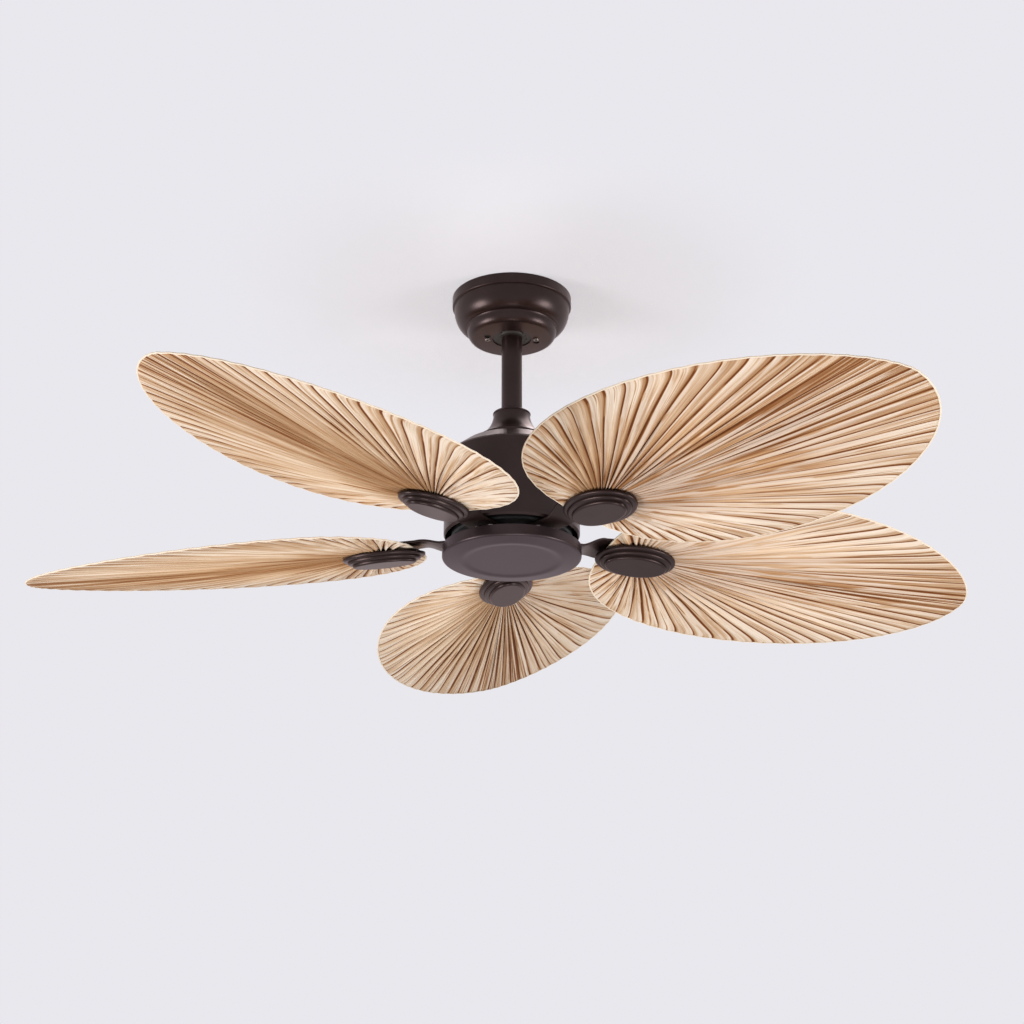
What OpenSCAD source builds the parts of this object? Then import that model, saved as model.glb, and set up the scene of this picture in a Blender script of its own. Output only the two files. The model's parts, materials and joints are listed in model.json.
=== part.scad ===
// Ceiling fan with five pleated palm-leaf blades, hung from a ball-and-socket hanger.
// Millimetres. The origin is the middle of the hanger bracket's face on the ceiling,
// +Z points up into the ceiling and the fan hangs below it. +Y points away from the
// photographed view and +X to its right.

/* [Canopy] */
// Radius of the canopy's rim against the ceiling
canopy_r = 77.5; // [74:0.5:88]
// Height of the canopy from the ceiling to its flat floor
canopy_h = 57; // [55:0.5:68]
// Height of the straight band at the canopy's rim
canopy_band_h = 13; // [8:0.5:15]
// Radius of the canopy's lower, smaller bowl
canopy_low_r = 58.5; // [56:0.5:62]
// Height of the canopy's lower bowl
canopy_low_h = 14.5; // [12:0.5:17]
// Sheet thickness of the canopy
canopy_wall = 1.2; // [1:0.1:1.6]
// Radius of the hole in the canopy's floor that the rod swings in
canopy_hole_r = 25.4; // [23:0.1:27]
// Distance of the canopy's two screws from the axis
canopy_screw_r = 31.5; // [30.5:0.1:33]

/* [Hanger] */
// Distance between the two ceiling screw slots
slot_spacing = 100; // [94:1:106]
// Length of a ceiling screw slot, end to end
slot_length = 14; // [10:1:16]
// Width of a ceiling screw slot
slot_w = 5.5; // [4.5:0.1:7]
// Width of the bracket's strap
bracket_w = 34; // [30:1:38]
// Sheet thickness of the bracket
bracket_t = 2.2; // [2:0.1:3]
// Distance of the bracket's legs from the axis, to their outer faces
bracket_leg_x = 40; // [39:0.5:42]
// Radius of the hanger ball
ball_r = 25; // [24:0.25:27]
// Radius of the seat's circle of contact on the ball
seat_r = 20; // [19:0.1:21]
// Diameter of the cross pin through ball and rod
hanger_pin_d = 6; // [5:0.5:7]

/* [Rod and coupler] */
// Outer diameter of the down rod
rod_d = 26.6; // [25:0.1:28]
// Wall of the down rod
rod_wall = 1.8; // [1.4:0.1:2.6]
// Length of rod that shows between the canopy and the coupling cover
rod_show = 106; // [60:1:600]
// Height of the coupling cover
coupling_h = 42; // [39:0.5:50]
// Radius of the coupling cover's top
coupling_top_r = 23.2; // [22.4:0.1:26]
// Radius of the coupling cover's base on the housing
coupling_base_r = 45.7; // [43:0.1:52]
// Radius of the hollow curve of the coupling cover's side
coupling_flare_r = 41.7; // [38:0.1:52]
// Radius of the cast coupler's collar
coupler_r = 18.6; // [17.6:0.1:19.6]
// Depth of the rod's socket in the coupler
socket_depth = 29; // [26:0.5:31]
// Diameter of the clevis pin
clevis_pin_d = 6; // [5:0.5:7]

/* [Housing] */
// Radius of the motor housing
housing_r = 85.5; // [84:0.5:98]
// Height of the motor housing
housing_h = 127.5; // [122:0.5:145]
// Radius of the crease between the housing's shoulder and its bevel
shoulder_r = 66.5; // [58:0.5:73]
// Sheet thickness of the housing
housing_wall = 1.2; // [1:0.1:1.6]

/* [Motor] */
// Radius of the hollow motor shaft
shaft_r = 8.5; // [8:0.1:9]
// Height of the laminated stack
stack_h = 30; // [24:1:34]
// Air gap between stator and rotor core
air_gap = 0.6; // [0.4:0.1:1]
// Number of stator slots
stator_slots = 12; // [9:1:16]

/* [Bottom pan] */
// Height of the dark gap between housing and bottom pan
gap_h = 14; // [13:0.5:19]
// Radius of the bottom pan
pan_r = 87.2; // [85:0.1:99]
// Height of the bottom pan
pan_h = 17; // [16.5:0.5:23]
// Radius of the flat disc in the middle of the pan
pan_disc_r = 57.4; // [52:0.1:64]
// Sheet thickness of the pan
pan_wall = 1.2; // [1:0.1:1.6]

/* [Blade irons] */
// Width of the iron's strap
strap_w = 36; // [31:0.5:39]
// Thickness of the iron
strap_t = 3; // [2.5:0.1:3.5]
// Extra rise of the strap's arch in the middle of the neck
arch_rise = 1.5; // [0:0.5:4]
// Length of the oval plate over the leaf, as a half axis
plate_a = 47.5; // [43:0.5:49]
// Width of the oval plate over the leaf, as a half axis
plate_b = 31; // [27:0.5:32]

/* [Leaves] */
// Direction of the first leaf, from +X towards +Y
first_angle = 21; // [0:1:71]
// Distance from the axis to the middle of the medallion
clamp_r = 168.5; // [162:0.5:184]
// Drop of the leaf's middle plane at the clamp below the strap
clamp_drop = 1; // [-1:0.5:3]
// Pitch of the leaf at its clamp, leading edge up
pitch = 10.6; // [6:0.2:15]
// Droop of the leaf at its clamp, outer end down
droop = 1.7; // [0:0.1:5]
// Distance from the medallion's middle to the leaf's root end
leaf_root = 44; // [41:0.5:48]
// Distance from the medallion's middle to the leaf's tip
leaf_reach = 491.5; // [400:0.5:600]
// Widest half of the leaf on its leading side
leaf_lead_w = 174.8; // [140:0.1:180]
// Widest half of the leaf on its trailing side
leaf_trail_w = 173.6; // [140:0.1:180]
// Thickness of the leaf
leaf_t = 1.6; // [1.2:0.1:2]
// Number of pleats in a leaf
pleat_count = 56; // [24:4:56]
// Largest height of a pleat's ridge over the leaf's middle surface
pleat_h = 3.2; // [1:0.1:3.4]
// Share of a ridge's height that is lost at the leaf's edge
pleat_fade = 0.8; // [0:0.05:0.9]
// Sideways bend of the pleat lines on their way to the edge
pleat_bend = 0.3; // [0:0.05:0.4]
// Room left for the pleated leaf between the medallion and the iron's plate
clamp_gap = 8.4; // [8.4:0.1:10]

/* [Medallions] */
// Half length of the medallion
medallion_a = 54; // [46:0.5:58]
// Half width of the medallion
medallion_b = 36; // [29:0.5:39]
// Height of one of the medallion's three tiers
tier_h = 4; // [3:0.1:5]
// Setback of each tier
tier_step = 6; // [4:0.5:7]

/* [Hidden] */
$fn = 96;

// Clearances
thread_gap = 0.05;      // screw to its thread, press-fitted pieces
hole_gap = 0.3;         // screw to its clearance hole, pin to its hole
seat_gap = 0.3;         // hanger ball to its socket
slide_gap = 0.05;       // rod to its bores

// Hanger
bracket_h = canopy_h - canopy_wall;
seat_t = bracket_t + 0.3;
pivot_z = -(bracket_h - seat_t / 2) + sqrt(pow(ball_r, 2) - pow(seat_r, 2));
ball_top = 14;          // ball's flat top above its centre
ball_bottom = 17;       // ball's flat bottom below its centre
groove_w = 7;           // groove in the ball for the bracket's nib
groove_depth = 4;
ball_screw_d = 5;
ball_screw_rise = 8;    // ball's set screw above its centre
nib_w = 4;
nib_h = 5;
strap_over_slot = 5;    // bracket beyond the end of a slot
ground_spot = [-25, 9];
ground_screw_d = 4;
canopy_screw_d = 4;
canopy_head_r = 3.6;
canopy_head_h = 2.2;
rod_top_z = pivot_z + ball_top + 2;

// Levels from the ceiling down
coupling_top_z = -(canopy_h + rod_show);
housing_top_z = coupling_top_z - coupling_h;
housing_bottom_z = housing_top_z - housing_h;
pan_top_z = housing_bottom_z - gap_h;
pan_bottom_z = pan_top_z - pan_h;
strap_z = housing_bottom_z - 3.5;              // middle of the straps in the gap
rotor_bottom_z = strap_z + strap_t / 2;
clamp_z = strap_z - clamp_drop;                // leaf's middle plane at the clamp

// Coupler
rod_r = rod_d / 2;
coupler_top_z = coupling_top_z - 7;
rod_bottom_z = coupler_top_z - socket_depth;
flange_top_z = housing_top_z - housing_wall;
flange_r = 36;
flange_t = 5;
coupler_low_r = 15;
coupler_bottom_z = flange_top_z - flange_t - 12;
shaft_top_z = rod_bottom_z - 4;
shaft_bore_r = 5.5;
coupling_wall = 1.2;
clevis_z = coupler_top_z - 13;
set_screw_fall = 22;
set_screw_z = coupler_top_z - set_screw_fall;
coupler_screw_d = 6;
housing_screw_r = 28;                          // screws from the axis
housing_screw_d = 5;
clip_wire_r = 0.8;
shoulder_fall = 7.9;                           // housing's shoulder, top to crease
bevel_fall = 13.3;                             // housing's bevel

// Motor
rotor_wall = 3;
rotor_room = 8.3;                              // housing's sheet to the rotor's shells
rotor_r = housing_r - housing_wall - rotor_room;
rotor_core_t = 12.4;
bearing_or = 20;
bearing_ball_r = 3.35;
bearing_pitch_r = 14.25;
bearing_w = 12;
bearing_ball_count = 8;
shell_lip = 2;                                 // lip that holds a bearing's ring
shell_floor = 5;
shell_flange_r = housing_r - housing_wall - 1.8;
shell_flange_t = 3;
shell_slope = 16;                              // fall of the upper shell's web
lower_bearing_z = rotor_bottom_z + shell_floor + 1.2;      // lower face
lower_shell_rise = 47.5;                       // split above the housing's lower edge
upper_shell_rise = 44;                         // upper bearing above the split
rotor_split_z = housing_bottom_z + lower_shell_rise;
upper_bearing_z = rotor_split_z + upper_shell_rise;        // upper face
stack_top_z = rotor_split_z + stack_h / 2;
stack_bottom_z = stack_top_z - stack_h;
winding_h = 8;                                 // coils above and below the stack
rotor_inner_r = rotor_r - rotor_wall;
core_inner_r = rotor_inner_r - rotor_core_t;
stator_r = core_inner_r - air_gap;
winding_r = stator_r - 2.5;
slot_root_r = 33;
shell_screw_r = (rotor_r + shell_flange_r) / 2;
shell_screw_count = 6;
shell_screw_d = 3;

// Bottom pan
pan_plate_t = 1.5;
pan_plate_z = pan_top_z - 1.5;                 // upper face
pan_plate_r = pan_r - pan_wall - 0.7;
nut_h = 6;
nut_r = 13.9;
shaft_bottom_z = pan_plate_z - pan_plate_t - nut_h - 1.5;
lug_w = 10;
lug_depth = 6;
lug_t = 1.2;
cap_size = [36, 26, 10];
cap_x = 22;
clip_t = 0.8;
clip_w = 10;
clip_foot = 7;
clip_screw_d = 3;

// Blade irons and leaves
blade_count = 5;
iron_screw_s = rotor_r - 14;                   // screws from the fan's axis
strap_start_r = iron_screw_s - 12;             // inner end of the strap
iron_screw_w = 10;                             // screws from the iron's middle line
iron_screw_d = 5;
strap_flat_end = rotor_r + 14;                 // the strap is level up to here
neck_w = 46;                                   // plate's width at its inner end
neck_overlap = 7;                              // neck inside the plate
neck_taper = 0.8;                              // loss of thickness along the neck
neck_section_count = 8;
plate_start = -55;                             // inner end of the plate
boss_r = 5;
blade_screw_d = 3.9;
blade_screw_spots = [[-26, 0], [21, 12], [21, -12]];
washer_r = 5;
washer_t = 1;
leaf_curl = 0.00006;                           // rise along the leaf, per mm squared
leaf_cup = 0.0001;                             // rise across the leaf, per mm squared
leaf_twist = 0.00008;                          // growth of the pitch along the leaf
flat_x = 40;                                   // the leaf bends outside this zone
flat_y = 30;
pleat_slope = 0.5;                             // ridge height per width of pleat
rings = [0.13, 0.3, 0.55, 0.8, 1];             // rings of points from clamp to edge

// ---------------------------------------------------------------- shared shapes

// A ring between two radii and two heights.
module tube(r_out, r_in, z_low, z_high) {
    rotate_extrude()
        translate([r_in, z_low])
            square([r_out - r_in, z_high - z_low]);
}

// A pan-head screw along -Z with its head's seat at z = 0.
module screw(d, length, head_r, head_h) {
    rotate_extrude()
        polygon([[0, -length], [d / 2 - 0.3, -length], [d / 2, -length + 0.6], [d / 2, 0],
                 [head_r, 0], [head_r, head_h * 0.45], [head_r * 0.7, head_h], [0, head_h]]);
}

// A headless set screw with a hexagon socket, along +Z from z = 0.
module set_screw(d, length) {
    difference() {
        cylinder(d = d, h = length);
        translate([0, 0, length - d * 0.4])
            cylinder(d = d * 0.5, h = d, $fn = 6);
    }
}

// Places its children in the frame of blade i: x outward, z up, at the fan's axis.
module at_blade(i) {
    rotate([0, 0, first_angle + i * 360 / blade_count])
        children();
}

// Places its children in the pitched frame of a leaf's clamp.
// share runs from 0, level, to 1, the leaf's own pitch and droop.
module at_clamp(share = 1) {
    translate([clamp_r, 0, clamp_z])
        rotate([-pitch * share, droop * share, 0])
            children();
}

// ---------------------------------------------------------------- hanger

// Stamped hanger bracket: strap with two slots, two legs and the ball's seat.
module ceiling_bracket() {
    strap_x = slot_spacing / 2 + slot_length / 2 + strap_over_slot;
    color("#1c1a1b")
    difference() {
        union() {
            translate([-strap_x, -bracket_w / 2, -bracket_t])
                cube([2 * strap_x, bracket_w, bracket_t]);
            for (side = [-1, 1])
                translate([side * (bracket_leg_x - bracket_t / 2) - bracket_t / 2,
                           -bracket_w / 2, -bracket_h])
                    cube([bracket_t, bracket_w, bracket_h]);
            translate([0, 0, -bracket_h])
                linear_extrude(seat_t)
                    seat_outline();
            ear();
        }
        for (side = [-1, 1])
            translate([side * slot_spacing / 2, 0, -bracket_t - 1])
                linear_extrude(bracket_t + 2)
                    slot_outline(slot_length, slot_w);
        translate([0, 0, pivot_z])
            sphere(ball_r + seat_gap);
        translate([-rod_r - 1, -ball_r - bracket_w, -bracket_h - 1])
            cube([rod_d + 2, ball_r + bracket_w, seat_t + 2]);
        for (side = [-1, 1])
            translate([side * canopy_screw_r, 0, -bracket_h - 1])
                cylinder(d = canopy_screw_d + 2 * thread_gap, h = seat_t + 2);
        translate([ground_spot.x, ground_spot.y, -bracket_t - 1])
            cylinder(d = ground_screw_d + 2 * thread_gap, h = bracket_t + 2);
    }
    // The nib keeps the ball from turning, so it stands in the ball's groove.
    color("#1c1a1b")
        translate([-nib_w / 2, ball_r - 2.2, pivot_z - nib_h / 2])
            cube([nib_w, 3.2, nib_h]);
}

module seat_outline() {
    square([2 * bracket_leg_x, bracket_w], center = true);
    circle(ball_r + 9);
}

module slot_outline(length, width) {
    square([length - width, width], center = true);
    for (side = [-1, 1])
        translate([side * (length - width) / 2, 0])
            circle(width / 2);
}

// The ear that carries the nib, just outside the ball.
module ear() {
    translate([-6, ball_r + 0.6, -bracket_h])
        cube([12, 2.5, pivot_z + nib_h + bracket_h]);
}

// Spun canopy: rim band, large bowl, small bowl, flat floor with hole and keyholes.
module canopy() {
    low_top = -(canopy_h - canopy_low_h);
    band = -canopy_band_h - 1.2;
    bowl_r = canopy_r - 2.4;
    bowl_end_r = canopy_low_r + 0.8;
    floor_r = canopy_low_r - 8.4;
    bowl = [for (a = [0 : 10 : 90])
        [bowl_end_r + (bowl_r - bowl_end_r) * cos(a), band + (low_top - band) * sin(a)]];
    low_bowl = [for (a = [0 : 15 : 90])
        [floor_r + (canopy_low_r - 0.3 - floor_r) * cos(a),
         low_top - 2 - (canopy_low_h - 2) * sin(a)]];
    outer = concat([[canopy_r, 0], [canopy_r, -canopy_band_h]], bowl, low_bowl);
    last = len(outer) - 1;
    color("#3a2d2b")
    difference() {
        rotate_extrude()
            polygon(concat(outer, [[canopy_hole_r, -canopy_h], [canopy_hole_r, -bracket_h]],
                           [for (k = [last : -1 : 0])
                               [outer[k].x - canopy_wall,
                                k == 0 ? 0 : outer[k].y + (k < 2 ? 0 : canopy_wall)]]));
        for (turn = [0, 180])
            rotate([0, 0, turn])
                keyhole();
    }
}

// Keyhole slot in the canopy's floor, round hole first, narrow end at the screw.
module keyhole() {
    translate([canopy_screw_r, 0, -canopy_h - 1])
        cylinder(d = canopy_screw_d + hole_gap, h = canopy_wall + 2);
    translate([canopy_screw_r - (canopy_screw_d + hole_gap) / 2, 0, -canopy_h - 1])
        cube([canopy_screw_d + hole_gap, 8, canopy_wall + 2]);
    translate([canopy_screw_r, 9, -canopy_h - 1])
        cylinder(r = canopy_head_r + 0.6, h = canopy_wall + 2);
}

module canopy_screws() {
    color("#c8c2b8")
    for (side = [-1, 1])
        translate([side * canopy_screw_r, 0, -canopy_h])
            mirror([0, 0, 1])
                screw(canopy_screw_d, 7, canopy_head_r, canopy_head_h);
}

module ground_screw() {
    color("seagreen")
    translate([ground_spot.x, ground_spot.y, -bracket_t])
        mirror([0, 0, 1])
            screw(ground_screw_d, bracket_t - 0.2, 3.5, 2);
}

// Hanger ball: bored for the rod and pin, grooved for the bracket's nib.
module hanger_ball() {
    color("#5b4a3c")
    translate([0, 0, pivot_z])
        difference() {
            intersection() {
                sphere(ball_r);
                translate([-ball_r - 1, -ball_r - 1, -ball_bottom])
                    cube([2 * ball_r + 2, 2 * ball_r + 2, ball_top + ball_bottom]);
            }
            translate([0, 0, -ball_r - 1])
                cylinder(r = rod_r + slide_gap, h = 2 * ball_r + 2);
            rotate([0, 90, 0])
                cylinder(d = hanger_pin_d + hole_gap, h = 2 * ball_r + 2, center = true);
            translate([-groove_w / 2, ball_r - groove_depth, -ball_r])
                cube([groove_w, groove_depth + 1, 2 * ball_r]);
            translate([0, 0, ball_screw_rise])
                rotate([90, 0, 0])
                    cylinder(d = ball_screw_d + 2 * thread_gap, h = ball_r + 1);
        }
}

module hanger_pin() {
    color("silver")
    translate([0, 0, pivot_z])
        rotate([0, 90, 0])
            cylinder(d = hanger_pin_d, h = 2 * ball_r - 5, center = true);
}

module ball_set_screw() {
    color("dimgray")
    translate([0, -rod_r, pivot_z + ball_screw_rise])
        rotate([90, 0, 0])
            set_screw(ball_screw_d, ball_r - rod_r - 3);
}

module downrod() {
    color("#32282a")
    difference() {
        tube(rod_r, rod_r - rod_wall, rod_bottom_z, rod_top_z);
        translate([0, 0, pivot_z])
            rotate([0, 90, 0])
                cylinder(d = hanger_pin_d + hole_gap, h = rod_d + 2, center = true);
        translate([0, 0, clevis_z])
            rotate([0, 90, 0])
                cylinder(d = clevis_pin_d + hole_gap, h = rod_d + 2, center = true);
    }
}

// ---------------------------------------------------------------- coupler

// Bell-shaped cover over the coupler: collar bead, hollow flared side, straight lip.
module coupling_cover() {
    centre = [coupling_top_r + coupling_flare_r, coupling_top_z];
    lip_z = coupling_top_z - sqrt(pow(coupling_flare_r, 2)
            - pow(centre.x - coupling_base_r, 2));
    color("#33292b")
    rotate_extrude() {
        difference() {
            flare_region(centre, lip_z, coupling_flare_r, 0);
            translate([0, -coupling_wall])
                flare_region(centre, lip_z, coupling_flare_r, coupling_wall);
            translate([-1, housing_top_z - coupling_h])
                square([rod_r + 2, 2 * coupling_h]);
        }
        translate([coupling_top_r - 0.4, coupling_top_z - 1.4])
            circle(1.4, $fn = 32);
    }
}

// Everything inside the cover's outline, drawn back by inset.
module flare_region(centre, lip_z, flare, inset) {
    difference() {
        translate([0, lip_z])
            square([coupling_base_r - inset, coupling_top_z - lip_z]);
        translate(centre)
            circle(flare + inset);
    }
    translate([0, housing_top_z])
        square([coupling_base_r - inset, lip_z - housing_top_z]);
}

// Cast coupler: rod socket, screw flange under the housing's top, shaft socket.
module motor_coupler() {
    color("#6e6a68")
    difference() {
        union() {
            translate([0, 0, flange_top_z])
                cylinder(r = coupler_r, h = coupler_top_z - flange_top_z);
            translate([0, 0, flange_top_z - flange_t])
                cylinder(r = flange_r, h = flange_t);
            translate([0, 0, coupler_bottom_z])
                cylinder(r = coupler_low_r, h = flange_top_z - coupler_bottom_z - 1);
        }
        translate([0, 0, rod_bottom_z])
            cylinder(r = rod_r + slide_gap, h = socket_depth + 1);
        translate([0, 0, coupler_bottom_z - 1])
            cylinder(r = shaft_r + thread_gap, h = shaft_top_z - coupler_bottom_z + 1);
        translate([0, 0, shaft_top_z - 1])
            cylinder(r = shaft_bore_r + 1, h = rod_bottom_z - shaft_top_z + 2);
        translate([0, 0, clevis_z])
            rotate([0, 90, 0])
                cylinder(d = clevis_pin_d + hole_gap, h = 2 * coupler_r + 2, center = true);
        for (turn = [90, 270])
            rotate([0, 0, turn])
                translate([0, 0, set_screw_z])
                    rotate([0, 90, 0])
                        cylinder(d = coupler_screw_d + 2 * thread_gap, h = coupler_r + 1);
        for (k = [0 : 2])
            rotate([0, 0, 30 + 120 * k])
                translate([housing_screw_r, 0, flange_top_z - flange_t - 1])
                    cylinder(d = housing_screw_d + 2 * thread_gap, h = flange_t + 2);
    }
}

// Clevis pin with its head at -X and a cross hole for the clip at +X.
module clevis_pin() {
    color("silver")
    translate([0, 0, clevis_z])
        difference() {
            rotate([0, 90, 0]) {
                translate([0, 0, -coupler_r])
                    cylinder(d = clevis_pin_d, h = 2 * coupler_r + 4.5);
                translate([0, 0, -coupler_r - 2])
                    cylinder(d = clevis_pin_d + 3, h = 2);
            }
            translate([coupler_r + 1.7, 0, 0])
                rotate([90, 0, 0])
                    cylinder(r = clip_wire_r + 0.2, h = clevis_pin_d + 2, center = true);
        }
}

// Hairpin clip: a straight wire through the pin, closed by a loop beside it.
module hairpin_clip() {
    loop_r = 2.6;
    reach = clevis_pin_d / 2 + loop_r + clip_wire_r + hole_gap;
    color("gainsboro")
    translate([coupler_r + 1.7, 0, clevis_z]) {
        rotate([90, 0, 0])
            cylinder(r = clip_wire_r, h = 2 * reach, center = true, $fn = 24);
        translate([0, reach, loop_r])
            rotate([0, 90, 0])
                rotate_extrude($fn = 32)
                    translate([loop_r, 0])
                        circle(clip_wire_r, $fn = 24);
    }
}

module coupler_set_screws() {
    color("dimgray")
    for (turn = [90, 270])
        rotate([0, 0, turn])
            translate([rod_r, 0, set_screw_z])
                rotate([0, 90, 0])
                    set_screw(coupler_screw_d, coupler_r - rod_r + 1.5);
}

// ---------------------------------------------------------------- housing

// Spun motor housing: seat for the coupling cover, shoulder, bevel, drum, rolled lip.
module motor_housing() {
    top = housing_top_z;
    bevel_top = top - shoulder_fall;
    bevel_low = bevel_top - bevel_fall;
    outer = [[coupler_r + 0.4, top], [coupling_base_r + 1, top],
             [shoulder_r - 3, bevel_top + 2.3], [shoulder_r, bevel_top],
             [housing_r - 1.5, bevel_low], [housing_r, bevel_low - 2.6],
             [housing_r, housing_bottom_z + 3], [housing_r - 1.5, housing_bottom_z]];
    last = len(outer) - 1;
    inner = [for (k = [last : -1 : 0])
                [outer[k].x - (k == 0 ? 0 : housing_wall),
                 k == last ? housing_bottom_z : outer[k].y - (k > 5 ? 0 : housing_wall)]];
    color("#2f2527")
    difference() {
        rotate_extrude()
            polygon(concat(outer, inner));
        for (k = [0 : 2])
            rotate([0, 0, 30 + 120 * k])
                translate([housing_screw_r, 0, top - housing_wall - 1])
                    cylinder(d = housing_screw_d + hole_gap, h = housing_wall + 2);
    }
}

module housing_screws() {
    color("silver")
    for (k = [0 : 2])
        rotate([0, 0, 30 + 120 * k])
            translate([housing_screw_r, 0, housing_top_z])
                screw(housing_screw_d, housing_wall + flange_t - 0.5, 4.2, 2.4);
}

// ---------------------------------------------------------------- motor

module motor_shaft() {
    color("lightgray")
        tube(shaft_r, shaft_bore_r, shaft_bottom_z, shaft_top_z);
}

// Laminated stator: hub, teeth and parallel-sided slots with narrow mouths.
module stator_core() {
    color("slategray")
    difference() {
        tube(stator_r, shaft_r + thread_gap, stack_bottom_z, stack_top_z);
        for (k = [0 : stator_slots - 1])
            rotate([0, 0, (k + 0.5) * 360 / stator_slots])
                translate([0, 0, stack_bottom_z - 1]) {
                    translate([slot_root_r, -slot_width() / 2, 0])
                        cube([winding_r - slot_root_r, slot_width(), stack_h + 2]);
                    translate([winding_r - 1, -1.5, 0])
                        cube([stator_r - winding_r + 2, 3, stack_h + 2]);
                }
    }
}

// A slot as wide as a tooth at the slot's root.
function slot_width() = PI * slot_root_r / stator_slots * 0.95;

// Copper coils: a bar in each slot, joined by a ring above and one below the stack.
module stator_windings() {
    bar_w = slot_width() - 0.6;
    color("#b4662f") {
        for (z = [stack_top_z, stack_bottom_z - winding_h])
            tube(winding_r - 0.3, slot_root_r + 0.3, z, z + winding_h);
        for (k = [0 : stator_slots - 1])
            rotate([0, 0, (k + 0.5) * 360 / stator_slots])
                translate([slot_root_r + 1, -bar_w / 2, stack_bottom_z - 1])
                    cube([winding_r - slot_root_r - 2, bar_w, stack_h + 2]);
    }
}

// One race of a ball bearing between two radii, with its lower face at z.
module bearing_race(r_out, r_in, z) {
    color("lightgray")
    rotate_extrude()
        difference() {
            translate([r_in, z])
                square([r_out - r_in, bearing_w]);
            translate([bearing_pitch_r, z + bearing_w / 2])
                circle(bearing_ball_r + 0.1);
        }
}

// The balls in their cage.
module bearing_balls(z) {
    color("whitesmoke")
    translate([0, 0, z + bearing_w / 2]) {
        for (k = [0 : bearing_ball_count - 1])
            rotate([0, 0, k * 360 / bearing_ball_count])
                translate([bearing_pitch_r, 0, 0])
                    sphere(bearing_ball_r, $fn = 32);
        tube(bearing_pitch_r + 0.6, bearing_pitch_r - 0.6, -1.5, 1.5);
    }
}

module upper_bearing_inner() {
    bearing_race(bearing_pitch_r - 2, shaft_r, upper_bearing_z - bearing_w);
}

module upper_bearing_balls() {
    bearing_balls(upper_bearing_z - bearing_w);
}

module upper_bearing_outer() {
    bearing_race(bearing_or, bearing_pitch_r + 2, upper_bearing_z - bearing_w);
}

module lower_bearing_inner() {
    bearing_race(bearing_pitch_r - 2, shaft_r, lower_bearing_z);
}

module lower_bearing_balls() {
    bearing_balls(lower_bearing_z);
}

module lower_bearing_outer() {
    bearing_race(bearing_or, bearing_pitch_r + 2, lower_bearing_z);
}

// Upper half of the rotor's case: bearing cup, sloping web, rim and flange.
module upper_rotor_shell() {
    top = upper_bearing_z + shell_lip;
    cup_r = bearing_or + 5;
    rim_z = top - shell_slope - shell_lip;
    split = rotor_split_z;
    color("#8d8f93")
    difference() {
        rotate_extrude()
            polygon([[bearing_or, upper_bearing_z - bearing_w], [bearing_or, upper_bearing_z],
                     [bearing_or - 5, upper_bearing_z], [bearing_or - 5, top],
                     [cup_r, top], [cup_r + 4, top - 4], [rotor_r, rim_z],
                     [rotor_r, split + shell_flange_t], [shell_flange_r, split + shell_flange_t],
                     [shell_flange_r, split], [rotor_inner_r, split],
                     [rotor_inner_r, rim_z - rotor_wall], [cup_r + 4, top - 4 - rotor_wall - 1],
                     [cup_r, upper_bearing_z - bearing_w]]);
        shell_screw_holes(thread_gap * 2);
    }
}

// Lower half: rim and flange, flat floor with the blade irons' threads, bearing cup.
module lower_rotor_shell() {
    low = rotor_bottom_z;
    floor_z = low + shell_floor;
    cup_r = bearing_or + 5;
    split = rotor_split_z;
    color("#1c1a1b")
    difference() {
        rotate_extrude()
            polygon([[rotor_inner_r, split], [shell_flange_r, split],
                     [shell_flange_r, split - shell_flange_t],
                     [rotor_r, split - shell_flange_t], [rotor_r, low + 2], [rotor_r - 2, low],
                     [bearing_or - 5, low], [bearing_or - 5, lower_bearing_z],
                     [bearing_or, lower_bearing_z], [bearing_or, lower_bearing_z + bearing_w],
                     [cup_r, lower_bearing_z + bearing_w], [cup_r, floor_z],
                     [rotor_inner_r, floor_z]]);
        shell_screw_holes(hole_gap);
        for (i = [0 : blade_count - 1])
            at_blade(i)
                for (side = [-1, 1])
                    translate([iron_screw_s, side * iron_screw_w, low - 1])
                        cylinder(d = iron_screw_d + 2 * thread_gap, h = shell_floor + 2);
    }
}

module shell_screw_holes(gap) {
    for (k = [0 : shell_screw_count - 1])
        rotate([0, 0, k * 360 / shell_screw_count])
            translate([shell_screw_r, 0, rotor_split_z - shell_flange_t - 1])
                cylinder(d = shell_screw_d + gap, h = 2 * shell_flange_t + 2, $fn = 32);
}

module rotor_shell_screws() {
    color("silver")
    for (k = [0 : shell_screw_count - 1])
        rotate([0, 0, k * 360 / shell_screw_count])
            translate([shell_screw_r, 0, rotor_split_z - shell_flange_t])
                mirror([0, 0, 1])
                    screw(shell_screw_d, 2 * shell_flange_t - 0.3, 2.6, 1.8);
}

module rotor_core() {
    color("#7c7468")
        tube(rotor_inner_r - thread_gap, core_inner_r, stack_bottom_z, stack_top_z);
}

// ---------------------------------------------------------------- bottom pan

// Disc on the shaft that carries the pan, notched for the pan's three lugs.
module pan_plate() {
    color("#5d5a5a")
    difference() {
        translate([0, 0, pan_plate_z - pan_plate_t])
            cylinder(r = pan_plate_r, h = pan_plate_t);
        translate([0, 0, pan_plate_z - pan_plate_t - 1])
            cylinder(r = shaft_r + thread_gap, h = pan_plate_t + 2);
        for (k = [0 : 2])
            rotate([0, 0, 120 * k + 60])
                translate([pan_plate_r - lug_depth, -lug_w / 2 - 1, pan_plate_z - pan_plate_t - 1])
                    cube([lug_depth + 1, lug_w + 2, pan_plate_t + 2]);
        for (side = [-1, 1])
            translate([cap_x + cap_size.x / 2, side * clip_screw_y(),
                       pan_plate_z - pan_plate_t - 1])
                cylinder(d = clip_screw_d + 2 * thread_gap, h = pan_plate_t + 2, $fn = 32);
    }
}

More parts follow.
